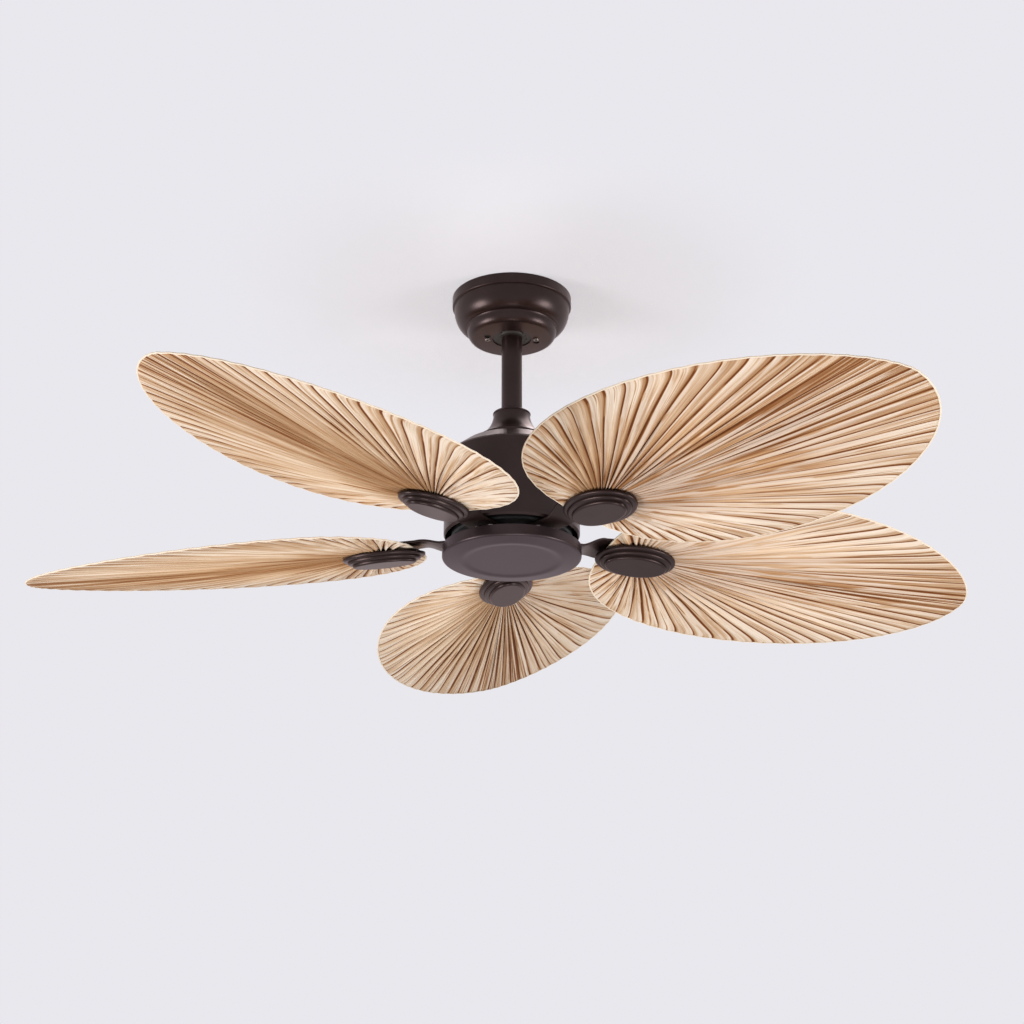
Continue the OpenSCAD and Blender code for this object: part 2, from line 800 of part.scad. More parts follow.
// Two hexagon nuts that clamp the plate on the shaft.
module pan_plate_nuts() {
    color("silver")
    for (z = [pan_plate_z, pan_plate_z - pan_plate_t - nut_h])
        translate([0, 0, z])
            difference() {
                cylinder(r = nut_r, h = nut_h, $fn = 6);
                translate([0, 0, -1])
                    cylinder(r = shaft_r + thread_gap, h = nut_h + 2);
            }
}

// Spun pan: straight side band, creased lower edge, dished underside, flat disc.
module bottom_pan() {
    rim = pan_top_z;
    low = pan_bottom_z;
    outer = [[pan_r, rim], [pan_r, low + 6.5], [pan_r - 0.8, low + 4.6], [pan_r - 2.6, low + 3.3],
             [pan_r - 5.5, low + 2.5], [pan_r - 14, low + 1.3], [pan_disc_r + 2.5, low],
             [pan_disc_r, low + 1], [0, low + 1]];
    last = len(outer) - 1;
    inner = [for (k = [last : -1 : 0])
                [max(0, outer[k].x - (k == last ? 0 : pan_wall)),
                 k == 0 ? rim : outer[k].y + pan_wall]];
    color("#4f4446") {
        rotate_extrude()
            polygon(concat(outer, inner));
        for (k = [0 : 2])
            rotate([0, 0, 120 * k])
                translate([0, 0, pan_plate_z])
                    intersection() {
                        translate([pan_plate_r - lug_depth + 1, -lug_w / 2, 0])
                            cube([lug_depth + 2, lug_w, lug_t]);
                        cylinder(r = pan_r - pan_wall / 2, h = lug_t);
                    }
    }
}

// Motor capacitor, flat under the plate.
module capacitor() {
    color("#26262a")
    translate([cap_x, -cap_size.y / 2, pan_plate_z - pan_plate_t - cap_size.z])
        cube(cap_size);
}

function clip_screw_y() = cap_size.y / 2 + clip_t + clip_foot / 2;

// Spring-steel clip bent round the capacitor, a screw through each foot.
module capacitor_clip() {
    seat = pan_plate_z - pan_plate_t;
    half = cap_size.y / 2;
    color("silver")
    translate([cap_x + (cap_size.x - clip_w) / 2, 0, 0])
        difference() {
            union() {
                translate([0, -half - clip_t, seat - cap_size.z - clip_t])
                    cube([clip_w, 2 * (half + clip_t), clip_t]);
                for (side = [-1, 1]) {
                    translate([0, side * (half + clip_t / 2) - clip_t / 2,
                               seat - cap_size.z - clip_t])
                        cube([clip_w, clip_t, cap_size.z + clip_t]);
                    translate([0, side * clip_screw_y() - clip_foot / 2 - clip_t / 2,
                               seat - clip_t])
                        cube([clip_w, clip_foot + clip_t, clip_t]);
                }
            }
            for (side = [-1, 1])
                translate([clip_w / 2, side * clip_screw_y(), seat - clip_t - 1])
                    cylinder(d = clip_screw_d + hole_gap, h = clip_t + 2, $fn = 32);
        }
}

module clip_screws() {
    color("gainsboro")
    for (side = [-1, 1])
        translate([cap_x + cap_size.x / 2, side * clip_screw_y(),
                   pan_plate_z - pan_plate_t - clip_t])
            mirror([0, 0, 1])
                screw(clip_screw_d, clip_t + pan_plate_t + 1, 2.6, 1.8);
}

// ---------------------------------------------------------------- blade irons

// Iron of blade i: level strap under the rotor, arched twisting neck, oval plate.
module blade_iron(i) {
    color("#241d1f")
    at_blade(i)
        difference() {
            union() {
                strap();
                at_clamp()
                    translate([0, 0, clamp_gap / 2])
                        linear_extrude(strap_t)
                            plate_outline();
            }
            for (side = [-1, 1])
                translate([iron_screw_s, side * iron_screw_w, strap_z - strap_t])
                    cylinder(d = iron_screw_d + hole_gap, h = 2 * strap_t);
            at_clamp()
                for (spot = blade_screw_spots)
                    translate([spot.x, spot.y, clamp_gap / 2 - 1])
                        cylinder(d = blade_screw_d + hole_gap, h = strap_t + 2);
        }
}

function ease(u) = u * u * (3 - 2 * u);

// Middle of the neck's end inside the plate, in the frame of the blade.
function neck_end() =
    let (x = plate_start + neck_overlap,
         z = (clamp_gap + strap_t) / 2)
    [clamp_r + x * cos(droop) + z * cos(pitch) * sin(droop),
     z * sin(pitch),
     clamp_z - x * sin(droop) + z * cos(pitch) * cos(droop)];

// Corner of the neck's section at the share u of its way from the strap to the plate.
// side and face are -1 or 1. The neck grows wider and a little thinner on its way.
function neck_corner(u, side, face) =
    let (way = ease(u),
         tilt = pitch * way,
         end = neck_end(),
         y = side * (strap_w + way * (neck_w - 1 - strap_w)) / 2,
         z = face * (strap_t - way * neck_taper) / 2)
    [strap_flat_end + u * (end.x - strap_flat_end),
     way * end.y + y * cos(tilt) + z * sin(tilt),
     strap_z + way * (end.z - strap_z) + arch_rise * sin(180 * u) - y * sin(tilt)
     + z * cos(tilt)];

// Strap and neck as one skin over rectangular sections.
module strap() {
    corners = [[-1, -1], [1, -1], [1, 1], [-1, 1]];
    flat_end = [for (c = corners)
        [strap_start_r, c.x * strap_w / 2, strap_z + c.y * strap_t / 2]];
    bend = [for (step = [0 : neck_section_count], c = corners)
        neck_corner(step / neck_section_count, c.x, c.y)];
    function at(section, corner) = 4 * section + corner % 4;
    level = [for (c = [0 : 3]) [at(0, c), at(1, c), at(1, c + 1), at(0, c + 1)]];
    skin = [for (j = [1 : neck_section_count], c = [0 : 3], half = [0, 1])
        half == 0 ? [at(j, c), at(j + 1, c), at(j + 1, c + 1)]
                  : [at(j, c), at(j + 1, c + 1), at(j, c + 1)]];
    last = neck_section_count + 1;
    polyhedron(concat(flat_end, bend),
               concat(level, skin, [[0, 1, 2, 3], [for (c = [3 : -1 : 0]) at(last, c)]]));
}

module plate_outline() {
    scale([plate_a, plate_b])
        circle(1);
    polygon([[plate_start, -neck_w / 2], [plate_start, neck_w / 2],
             [-plate_a * 0.45, plate_b * 0.88], [-plate_a * 0.45, -plate_b * 0.88]]);
}

module iron_screws() {
    color("#d8d4cc")
    for (i = [0 : blade_count - 1])
        at_blade(i)
            for (side = [-1, 1])
                translate([iron_screw_s, side * iron_screw_w, strap_z - strap_t / 2])
                    mirror([0, 0, 1])
                        screw(iron_screw_d, strap_t + shell_floor - 0.5, 4.2, 2.2);
}

// ---------------------------------------------------------------- pleated leaves

// Half width of a leaf at the share t of its length.
function leaf_half(t, width, root_power, tip_power) =
    let (peak = root_power / (root_power + tip_power))
    width * pow(t / peak, root_power) * pow((1 - t) / (1 - peak), tip_power);

// Point k of the leaf's outline: from the root along the trailing side to the tip,
// then back along the leading side. Points crowd together towards root and tip.
function leaf_edge(k) =
    let (trailing = k <= pleat_count,
         share = (trailing ? k : 2 * pleat_count - k) / pleat_count,
         t = (1 - cos(180 * share)) / 2,
         half = trailing ? leaf_half(t, leaf_trail_w, 0.377, 0.518)
                         : -leaf_half(t, leaf_lead_w, 0.385, 0.64))
    [-leaf_root + t * (leaf_root + leaf_reach), half];

function over(value, limit) = max(0, value - limit);

// Middle surface of the leaf: flat at the clamp, then curled, cupped and twisted.
function leaf_rise(p) =
    leaf_curl * pow(over(p.x, flat_x), 2) + leaf_cup * pow(over(abs(p.y), flat_y), 2)
    - leaf_twist * p.y * over(p.x, flat_x);

// Height of the ridge or valley of pleat line k at a share of the way to the edge.
function pleat_rise(k, share) =
    let (span = norm(leaf_edge((k + 1) % (2 * pleat_count)) - leaf_edge((k + 2 * pleat_count - 1)
                     % (2 * pleat_count))))
    (k % 2 == 0 ? 1 : -1) * min(pleat_h, pleat_slope * share * span)
    * (1 - pleat_fade * pow(share, 3));

// Point of pleat line k at a share of the way to the edge, seen from above.
function pleat_point(k, share) =
    let (e = leaf_edge(k))
    [share * e.x + pleat_bend * share * (1 - share) * abs(e.y), share * e.y];

// A leaf: pleat lines fan out from the clamp's middle to the edge, alternately high
// and low. The same points carry the top and, one thickness lower, the underside.
module leaf() {
    lines = 2 * pleat_count;
    bands = len(rings);
    side_count = 1 + bands * lines;
    points = [for (face = [0, 1], n = [0 : side_count - 1])
        let (ring = n == 0 ? 0 : floor((n - 1) / lines),
             k = n == 0 ? 0 : (n - 1) % lines,
             share = n == 0 ? 0 : rings[ring],
             p = pleat_point(k, share),
             rise = n == 0 ? 0 : leaf_rise(p) + pleat_rise(k, share))
        [p.x, p.y, rise + (face == 0 ? leaf_t / 2 : -leaf_t / 2)]];
    function at(face, ring, k) = face * side_count + 1 + ring * lines + k % lines;
    fan = [for (k = [0 : lines - 1]) [0, at(0, 0, k), at(0, 0, k + 1)]];
    skin = [for (ring = [0 : bands - 2], k = [0 : lines - 1], half = [0, 1])
        half == 0 ? [at(0, ring, k), at(0, ring + 1, k), at(0, ring + 1, k + 1)]
                  : [at(0, ring, k), at(0, ring + 1, k + 1), at(0, ring, k + 1)]];
    top = concat(fan, skin);
    underside = [for (f = top) [f[0] + side_count, f[2] + side_count, f[1] + side_count]];
    last = bands - 1;
    edge = [for (k = [0 : lines - 1], half = [0, 1])
        half == 0 ? [at(0, last, k), at(1, last, k), at(1, last, k + 1)]
                  : [at(0, last, k), at(1, last, k + 1), at(0, last, k + 1)]];
    polyhedron(points, concat(top, underside, edge));
}

// Leaf of blade i, with holes for the medallion's three bosses.
module leaf_blade(i) {
    color("#d9b98c")
    at_blade(i)
        at_clamp()
            difference() {
                leaf();
                for (spot = blade_screw_spots)
                    translate([spot.x, spot.y, -clamp_gap])
                        cylinder(r = boss_r + 0.6, h = 2 * clamp_gap, $fn = 32);
            }
}

// ---------------------------------------------------------------- medallions

// Stepped oval medallion under the leaf; its bosses reach through to the plate.
module medallion(i) {
    color("#2e2426")
    at_blade(i)
        at_clamp()
            difference() {
                union() {
                    for (tier = [0 : 2])
                        translate([0, 0, -clamp_gap / 2 - tier * tier_h])
                            tier_shape(medallion_a - tier * tier_step,
                                       medallion_b - tier * tier_step);
                    for (spot = blade_screw_spots)
                        translate([spot.x, spot.y, -clamp_gap / 2 - 1])
                            cylinder(r = boss_r, h = clamp_gap + 1, $fn = 32);
                }
                for (spot = blade_screw_spots)
                    translate([spot.x, spot.y, -clamp_gap / 2 - 6.5])
                        cylinder(d = blade_screw_d + 2 * thread_gap, h = clamp_gap + 8,
                                 $fn = 32);
            }
}

// One tier: a straight oval edge over a bevelled one.
module tier_shape(a, b) {
    bevel = 2.4;
    hull() {
        translate([0, 0, -tier_h * 0.55])
            linear_extrude(tier_h * 0.55)
                scale([a, b])
                    circle(1, $fn = 32);
        translate([0, 0, -tier_h])
            linear_extrude(tier_h * 0.5)
                scale([a - bevel, b - bevel])
                    circle(1, $fn = 32);
    }
}

module blade_screws() {
    color("#d8d4cc")
    for (i = [0 : blade_count - 1])
        at_blade(i)
            at_clamp()
                for (spot = blade_screw_spots)
                    translate([spot.x, spot.y, clamp_gap / 2 + strap_t + washer_t])
                        screw(blade_screw_d, washer_t + strap_t + clamp_gap + 6, 3.6, 2.2);
}

module blade_washers() {
    color("#8a8580")
    for (i = [0 : blade_count - 1])
        at_blade(i)
            at_clamp()
                for (spot = blade_screw_spots)
                    translate([spot.x, spot.y, 0])
                        tube(washer_r, blade_screw_d / 2 + hole_gap / 2,
                             clamp_gap / 2 + strap_t, clamp_gap / 2 + strap_t + washer_t);
}

// ---------------------------------------------------------------- nodes

ceiling_bracket();
canopy();
canopy_screws();
ground_screw();
hanger_ball();
hanger_pin();
ball_set_screw();
downrod();
coupling_cover();
motor_coupler();
clevis_pin();
hairpin_clip();
coupler_set_screws();
motor_housing();
housing_screws();
motor_shaft();
stator_core();
stator_windings();
upper_bearing_inner();
upper_bearing_balls();
upper_bearing_outer();
lower_bearing_inner();
lower_bearing_balls();
lower_bearing_outer();
upper_rotor_shell();
lower_rotor_shell();
rotor_core();
rotor_shell_screws();
pan_plate();
pan_plate_nuts();
bottom_pan();
capacitor();
capacitor_clip();
clip_screws();
for (i = [0 : blade_count - 1]) {
    blade_iron(i);
    leaf_blade(i);
    medallion(i);
}
iron_screws();
blade_screws();
blade_washers();
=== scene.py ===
"""Studio view of a ceiling fan with five pleated palm-leaf blades.

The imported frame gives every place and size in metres. Leaves, medallions, blade irons, screws,
canopy and pan are built here in their own detail; the other metalwork keeps the frame's shapes
and gets procedural finishes.
"""

import json
import logging
import math
from dataclasses import dataclass
from enum import Enum

import bpy
import numpy as np
from mathutils import Matrix, Vector

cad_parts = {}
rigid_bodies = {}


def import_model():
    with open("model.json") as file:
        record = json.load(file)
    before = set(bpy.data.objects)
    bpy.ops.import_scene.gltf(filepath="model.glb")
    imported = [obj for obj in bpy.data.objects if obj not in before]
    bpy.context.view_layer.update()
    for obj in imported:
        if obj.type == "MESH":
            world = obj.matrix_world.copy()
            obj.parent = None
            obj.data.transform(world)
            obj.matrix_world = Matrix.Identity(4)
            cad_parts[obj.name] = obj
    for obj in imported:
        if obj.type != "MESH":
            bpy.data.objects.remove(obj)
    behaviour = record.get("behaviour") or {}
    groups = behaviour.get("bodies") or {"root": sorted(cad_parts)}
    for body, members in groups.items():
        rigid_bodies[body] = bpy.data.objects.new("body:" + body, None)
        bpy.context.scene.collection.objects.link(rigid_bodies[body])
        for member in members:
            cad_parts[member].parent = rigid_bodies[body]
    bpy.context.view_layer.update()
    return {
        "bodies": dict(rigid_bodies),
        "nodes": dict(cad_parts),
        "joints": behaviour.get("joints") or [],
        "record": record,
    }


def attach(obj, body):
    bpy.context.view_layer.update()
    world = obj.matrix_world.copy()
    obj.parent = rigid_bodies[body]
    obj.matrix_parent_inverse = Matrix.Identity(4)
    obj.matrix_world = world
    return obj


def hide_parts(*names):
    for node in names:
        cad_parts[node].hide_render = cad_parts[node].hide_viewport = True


LOG = logging.getLogger("scene")

# Places in metres and directions in degrees, as in the frame.
BLADE_COUNT = 5
FIRST_ANGLE = 21.0
CLAMP_R = 0.1685
CLAMP_Z = -0.337
PITCH = 10.6
DROOP = 1.7
CLAMP_GAP = 0.0084
IRON_T = 0.003
STRAP_Z = -0.336
SCREW_SPOTS = ((-0.026, 0.0), (0.021, 0.012), (0.021, -0.012))
# Painted light: how much paler each leaf is painted, in place of how brightly each one is lit.
LEAF_PAINTED_LIGHT = (0.60, 1.30, 0.58, 0.70, 0.05)
HEAD_DOWN = Matrix.Rotation(math.pi, 4, "X")


class Slot(Enum):
    """Material slots of the record."""

    BRONZE = "bronze"
    PAN = "bronze_pan"
    BLACK = "black_steel"
    ZINC = "zinc"
    STEEL = "steel"
    NYLON = "nylon"
    CAST = "cast"
    ALUMINIUM = "aluminium"
    LAMINATION = "lamination"
    COPPER = "copper"
    MAGNET = "magnet"
    CASE = "capacitor_case"
    LEAF = "palm_leaf"


class Heads(Enum):
    """Which way a screw's head looks in the frame that places it."""

    UP = 1
    DOWN = -1


class Grain(Enum):
    """Noises stretched along the pleats: scale across, scale along, offset and octaves."""

    FIBRE = (7.0, 2.2, 0.0, 4.0)
    THREAD = (22.0, 4.0, 3.7, 2.0)
    CLOUD = (0.35, 2.6, 7.1, 3.0)
    PLEAT = (0.5, 1.1, 11.3, 2.0)
    STROKE = (1.9, 1.4, 21.3, 3.0)
    ZONE = (0.16, 1.3, 33.1, 2.0)
    BREAK = (0.9, 3.4, 15.9, 2.0)
    RIDGE = (0.8, 2.4, 27.7, 2.0)
    SPLIT = (3.4, 0.8, 51.7, 2.0)
    BLEACH = (0.3, 2.0, 41.9, 2.0)


# ------------------------------------------------------------------ finishes


@dataclass(frozen=True)
class MetalFinish:
    """A painted, plated or bare metal.

    Attributes:
        slot: Material slot the finish belongs to.
        dark: Linear colour of the darker patches.
        light: Linear colour of the lighter patches.
        metallic: Metal share of the surface.
        roughness: Mean roughness.
        spread: Change of roughness between patches.
        patch: Size of the patches, as noise scale per metre.
        grain: Strength of the fine relief.
        coat: Weight of a clear coat.
        coat_roughness: Roughness of that coat.
        tint: Colour of the dielectric reflection.
    """

    slot: Slot
    dark: tuple[float, float, float]
    light: tuple[float, float, float]
    metallic: float
    roughness: float
    spread: float = 0.08
    patch: float = 22.0
    grain: float = 0.05
    coat: float = 0.0
    coat_roughness: float = 0.3
    tint: tuple[float, float, float] = (1.0, 1.0, 1.0)


METALS = (
    MetalFinish(Slot.BRONZE, (0.019, 0.0105, 0.0095), (0.027, 0.0155, 0.0145), 0.50, 0.32,
                coat=0.06, tint=(0.95, 0.76, 0.74)),
    MetalFinish(Slot.PAN, (0.027, 0.018, 0.0195), (0.034, 0.023, 0.0255), 0.50, 0.34,
                coat=0.04, tint=(0.80, 0.62, 0.64)),
    MetalFinish(Slot.BLACK, (0.006, 0.005, 0.005), (0.012, 0.011, 0.011), 0.2, 0.45),
    MetalFinish(Slot.ZINC, (0.55, 0.54, 0.50), (0.68, 0.67, 0.64), 0.95, 0.32, patch=60.0),
    MetalFinish(Slot.STEEL, (0.50, 0.50, 0.50), (0.62, 0.62, 0.62), 1.0, 0.22, patch=80.0),
    MetalFinish(Slot.NYLON, (0.014, 0.010, 0.008), (0.022, 0.016, 0.013), 0.0, 0.60),
    MetalFinish(Slot.CAST, (0.13, 0.125, 0.12), (0.19, 0.185, 0.18), 0.7, 0.55, grain=0.4),
    MetalFinish(Slot.ALUMINIUM, (0.38, 0.39, 0.40), (0.50, 0.51, 0.52), 0.9, 0.42, grain=0.25),
    MetalFinish(Slot.LAMINATION, (0.10, 0.11, 0.12), (0.17, 0.18, 0.19), 0.8, 0.45, patch=90.0),
    MetalFinish(Slot.COPPER, (0.36, 0.12, 0.05), (0.52, 0.19, 0.08), 0.8, 0.30, patch=400.0),
    MetalFinish(Slot.MAGNET, (0.05, 0.05, 0.05), (0.09, 0.09, 0.085), 0.4, 0.60),
    MetalFinish(Slot.CASE, (0.012, 0.012, 0.014), (0.020, 0.020, 0.023), 0.0, 0.38),
)

# The medallions are darker than the sheet metal, and the canopy's screws duller than the
# others, each in the same slot.
MEDALLION_BRONZE = MetalFinish(Slot.BRONZE, (0.011, 0.0060, 0.0055), (0.017, 0.0098, 0.0092), 0.5,
                               0.32, coat=0.05, tint=(0.95, 0.70, 0.66))
DULL_ZINC = MetalFinish(Slot.ZINC, (0.16, 0.14, 0.13), (0.26, 0.23, 0.22), 0.95, 0.30, patch=60.0)
METAL_RELIEF = 0.0002
METAL_GRAIN_SCALE = 1600.0


@dataclass(frozen=True)
class LeafFinish:
    """Colours of the varnished leaf, all linear, and its surface.

    Attributes:
        cream: Lightest part of a pleat.
        tan: Main colour of a pleat.
        pale: Sun-faded places near the edge and the root, and the painted highlight beside a fold.
        brown: Shaded side of a fold and the streaks.
        crease: Painted shade as a thin dark line in a fold; also the fainter ridge lines and the
            split lines.
        hem: The binding round the leaf.
        roughness: Roughness of the varnish.
        specular: Specular level of the leaf.
        relief: Strength and depth of the fibres' relief.
        hem_relief: Strength and depth of the binding's relief.
        weave: Scale of the binding's weave per metre.
        streak: Number of the fold line along which the dark streak runs.
        line: Least width of a crease line in metres.
        line_more: What a strong line has more than that.
    """

    cream: tuple[float, float, float] = (0.76, 0.600, 0.455)
    tan: tuple[float, float, float] = (0.585, 0.368, 0.205)
    pale: tuple[float, float, float] = (0.77, 0.67, 0.580)
    brown: tuple[float, float, float] = (0.265, 0.116, 0.045)
    crease: tuple[float, float, float] = (0.135, 0.038, 0.009)
    hem: tuple[float, float, float] = (0.78, 0.67, 0.54)
    roughness: float = 0.60
    specular: float = 0.05
    relief: tuple[float, float] = (0.55, 0.0006)
    hem_relief: tuple[float, float] = (0.4, 0.0003)
    weave: float = 420.0
    streak: float = 59.0
    line: float = 0.0012
    line_more: float = 0.0024


class Value:
    """An output socket that adds, multiplies and divides like a number."""

    def __init__(self, kit: "Tree", socket: bpy.types.NodeSocket) -> None:
        """Keeps the socket and its tree."""
        self.kit = kit
        self.socket = socket

    def __add__(self, other: object) -> "Value":
        """Adds a value or a number."""
        return self.kit.math("ADD", self, other)

    def __sub__(self, other: object) -> "Value":
        """Takes away a value or a number."""
        return self.kit.math("SUBTRACT", self, other)

    def __rsub__(self, other: float) -> "Value":
        """Takes this value away from a number."""
        return self.kit.math("SUBTRACT", other, self)

    def __mul__(self, other: object) -> "Value":
        """Multiplies by a value or a number."""
        return self.kit.math("MULTIPLY", self, other)

    def __truediv__(self, other: object) -> "Value":
        """Divides by a value or a number."""
        return self.kit.math("DIVIDE", self, other)

    def ramp(self, low: object, high: object) -> "Value":
        """Maps low to high smoothly to 0 to 1.

        Args:
            low: Value that becomes 0.
            high: Value that becomes 1.

        Returns:
            The mapped value.
        """
        node = self.kit.add("ShaderNodeMapRange",
                            {"Value": self, "From Min": low, "From Max": high},
                            interpolation_type="SMOOTHSTEP")
        return Value(self.kit, node.outputs["Result"])


class Tree:
    """A node tree that is built call by call."""

    def __init__(self, tree: bpy.types.NodeTree) -> None:
        """Keeps the shader or geometry node tree to add to."""
        self.tree = tree

    def put(self, source: object, target: bpy.types.NodeSocket) -> None:
        """Links a source to a target, or sets the target to a constant.

        Args:
            source: A Value, a node, whose first output counts, a socket or a constant.
            target: The input socket.
        """
        if isinstance(source, Value):
            source = source.socket
        elif isinstance(source, bpy.types.Node):
            source = source.outputs[0]
        if isinstance(source, bpy.types.NodeSocket):
            self.tree.links.new(source, target)
        elif target.type == "RGBA":
            target.default_value = (*source, 1.0)
        else:
            target.default_value = source

    def fill(self, node: bpy.types.Node, inputs: dict[str | int, object]) -> None:
        """Links or sets a node's inputs, given by name or number."""
        for name, source in inputs.items():
            self.put(source, node.inputs[name])

    def add(self, kind: str, inputs: dict[str | int, object] | None = None,
            **settings: object) -> bpy.types.Node:
        """Adds a node.

        Args:
            kind: The node's type name.
            inputs: Source or constant by the input's name or number.
            **settings: Properties of the node to set.

        Returns:
            The new node.
        """
        node = self.tree.nodes.new(kind)
        for name, value in settings.items():
            setattr(node, name, value)
        self.fill(node, inputs or {})
        return node

    def math(self, operation: str, *values: object, clamp: bool = False) -> Value:
        """Adds a maths node.

        Args:
            operation: The node's operation.
            *values: Up to three values or numbers.
            clamp: Whether the result is held between 0 and 1.

        Returns:
            The result.
        """
        node = self.add("ShaderNodeMath", dict(enumerate(values)), operation=operation,
                        use_clamp=clamp)
        return Value(self, node.outputs[0])

    def mix(self, share: object, a: object, b: object) -> Value:
        """Mixes two colours.

        Args:
            share: How much of b, 0 to 1.
            a: First colour.
            b: Second colour.

        Returns:
            The mixed colour.
        """
        node = self.add("ShaderNodeMix", {"Factor": share}, data_type="RGBA")
        for source, socket in zip((a, b), (s for s in node.inputs if s.type == "RGBA")):
            self.put(source, socket)
        return Value(self, next(s for s in node.outputs if s.type == "RGBA"))

    def stain(self, share: Value, a: object, b: object) -> Value:
        """Mixes two colours as dyes do, so that the tones between them stay warm.

        Args:
            share: How much of b, 0 to 1.
            a: First colour.
            b: Second colour.

        Returns:
            The mixed colour.
        """
        parts = [self.add("ShaderNodeGamma", {"Color": colour, "Gamma": power})
                 for colour, power in ((a, 1.0 - share), (b, share))]
        both = self.add("ShaderNodeVectorMath", dict(enumerate(parts)), operation="MULTIPLY")
        return Value(self, both.outputs[0])

    def noise(self, place: object, scale: object, detail: float = 3.0,
              roughness: float = 0.5) -> Value:
        """Adds a noise texture.

        Args:
            place: Coordinates.
            scale: Noise scale.
            detail: Number of octaves.
            roughness: Weight of the finer octaves.

        Returns:
            The noise.
        """
        node = self.add("ShaderNodeTexNoise", {"Vector": place, "Scale": scale, "Detail": detail,
                                               "Roughness": roughness}, noise_dimensions="3D")
        return Value(self, node.outputs[0])

    def bump(self, height: object, strength: float, depth: float) -> bpy.types.Node:
        """Adds a Bump node with its strength and its depth in metres."""
        return self.add("ShaderNodeBump",
                        {"Strength": strength, "Distance": depth, "Height": height})

    def named(self, name: str, kind: str = "FLOAT") -> Value:
        """Reads the geometry's attribute of this name and data type."""
        node = self.add("GeometryNodeInputNamedAttribute", {"Name": name}, data_type=kind)
        return Value(self, node.outputs["Attribute"])

    def upright(self, z: object) -> bpy.types.Node:
        """Makes a vector along Z."""
        return self.add("ShaderNodeCombineXYZ", {2: z})

    def joined(self, *parts: bpy.types.Node) -> bpy.types.Node:
        """Joins the geometry of several nodes.

        Args:
            *parts: The nodes.

        Returns:
            The joining node.
        """
        node = self.add("GeometryNodeJoinGeometry")
        for part in parts:
            self.put(part, node.inputs[0])
        return node


def node_group(kind: str, name: str, inputs: dict[str, object], outputs: dict[str, str]) -> tuple:
    """Makes a node group with named sockets.

    Args:
        kind: Shader or Geometry.
        name: The group's name.
        inputs: Default value by input name, or the socket's type where it has no default.
        outputs: Socket type by output name.

    Returns:
        The Tree to fill, its inputs as Values by name, and its output node.
    """
    group = bpy.data.node_groups.new(name, kind + "NodeTree")
    types = {tuple: "Color", float: "Float", int: "Int"}
    for label, value in inputs.items():
        what = value if isinstance(value, str) else types[type(value)]
        socket = group.interface.new_socket(label, in_out="INPUT", socket_type="NodeSocket" + what)
        if not isinstance(value, str):
            socket.default_value = (*value, 1.0) if isinstance(value, tuple) else value
    for label, what in outputs.items():
        group.interface.new_socket(label, in_out="OUTPUT", socket_type="NodeSocket" + what)
    kit = Tree(group)
    given = {socket.name: Value(kit, socket) for socket in kit.add("NodeGroupInput").outputs}
    return kit, given, kit.add("NodeGroupOutput")


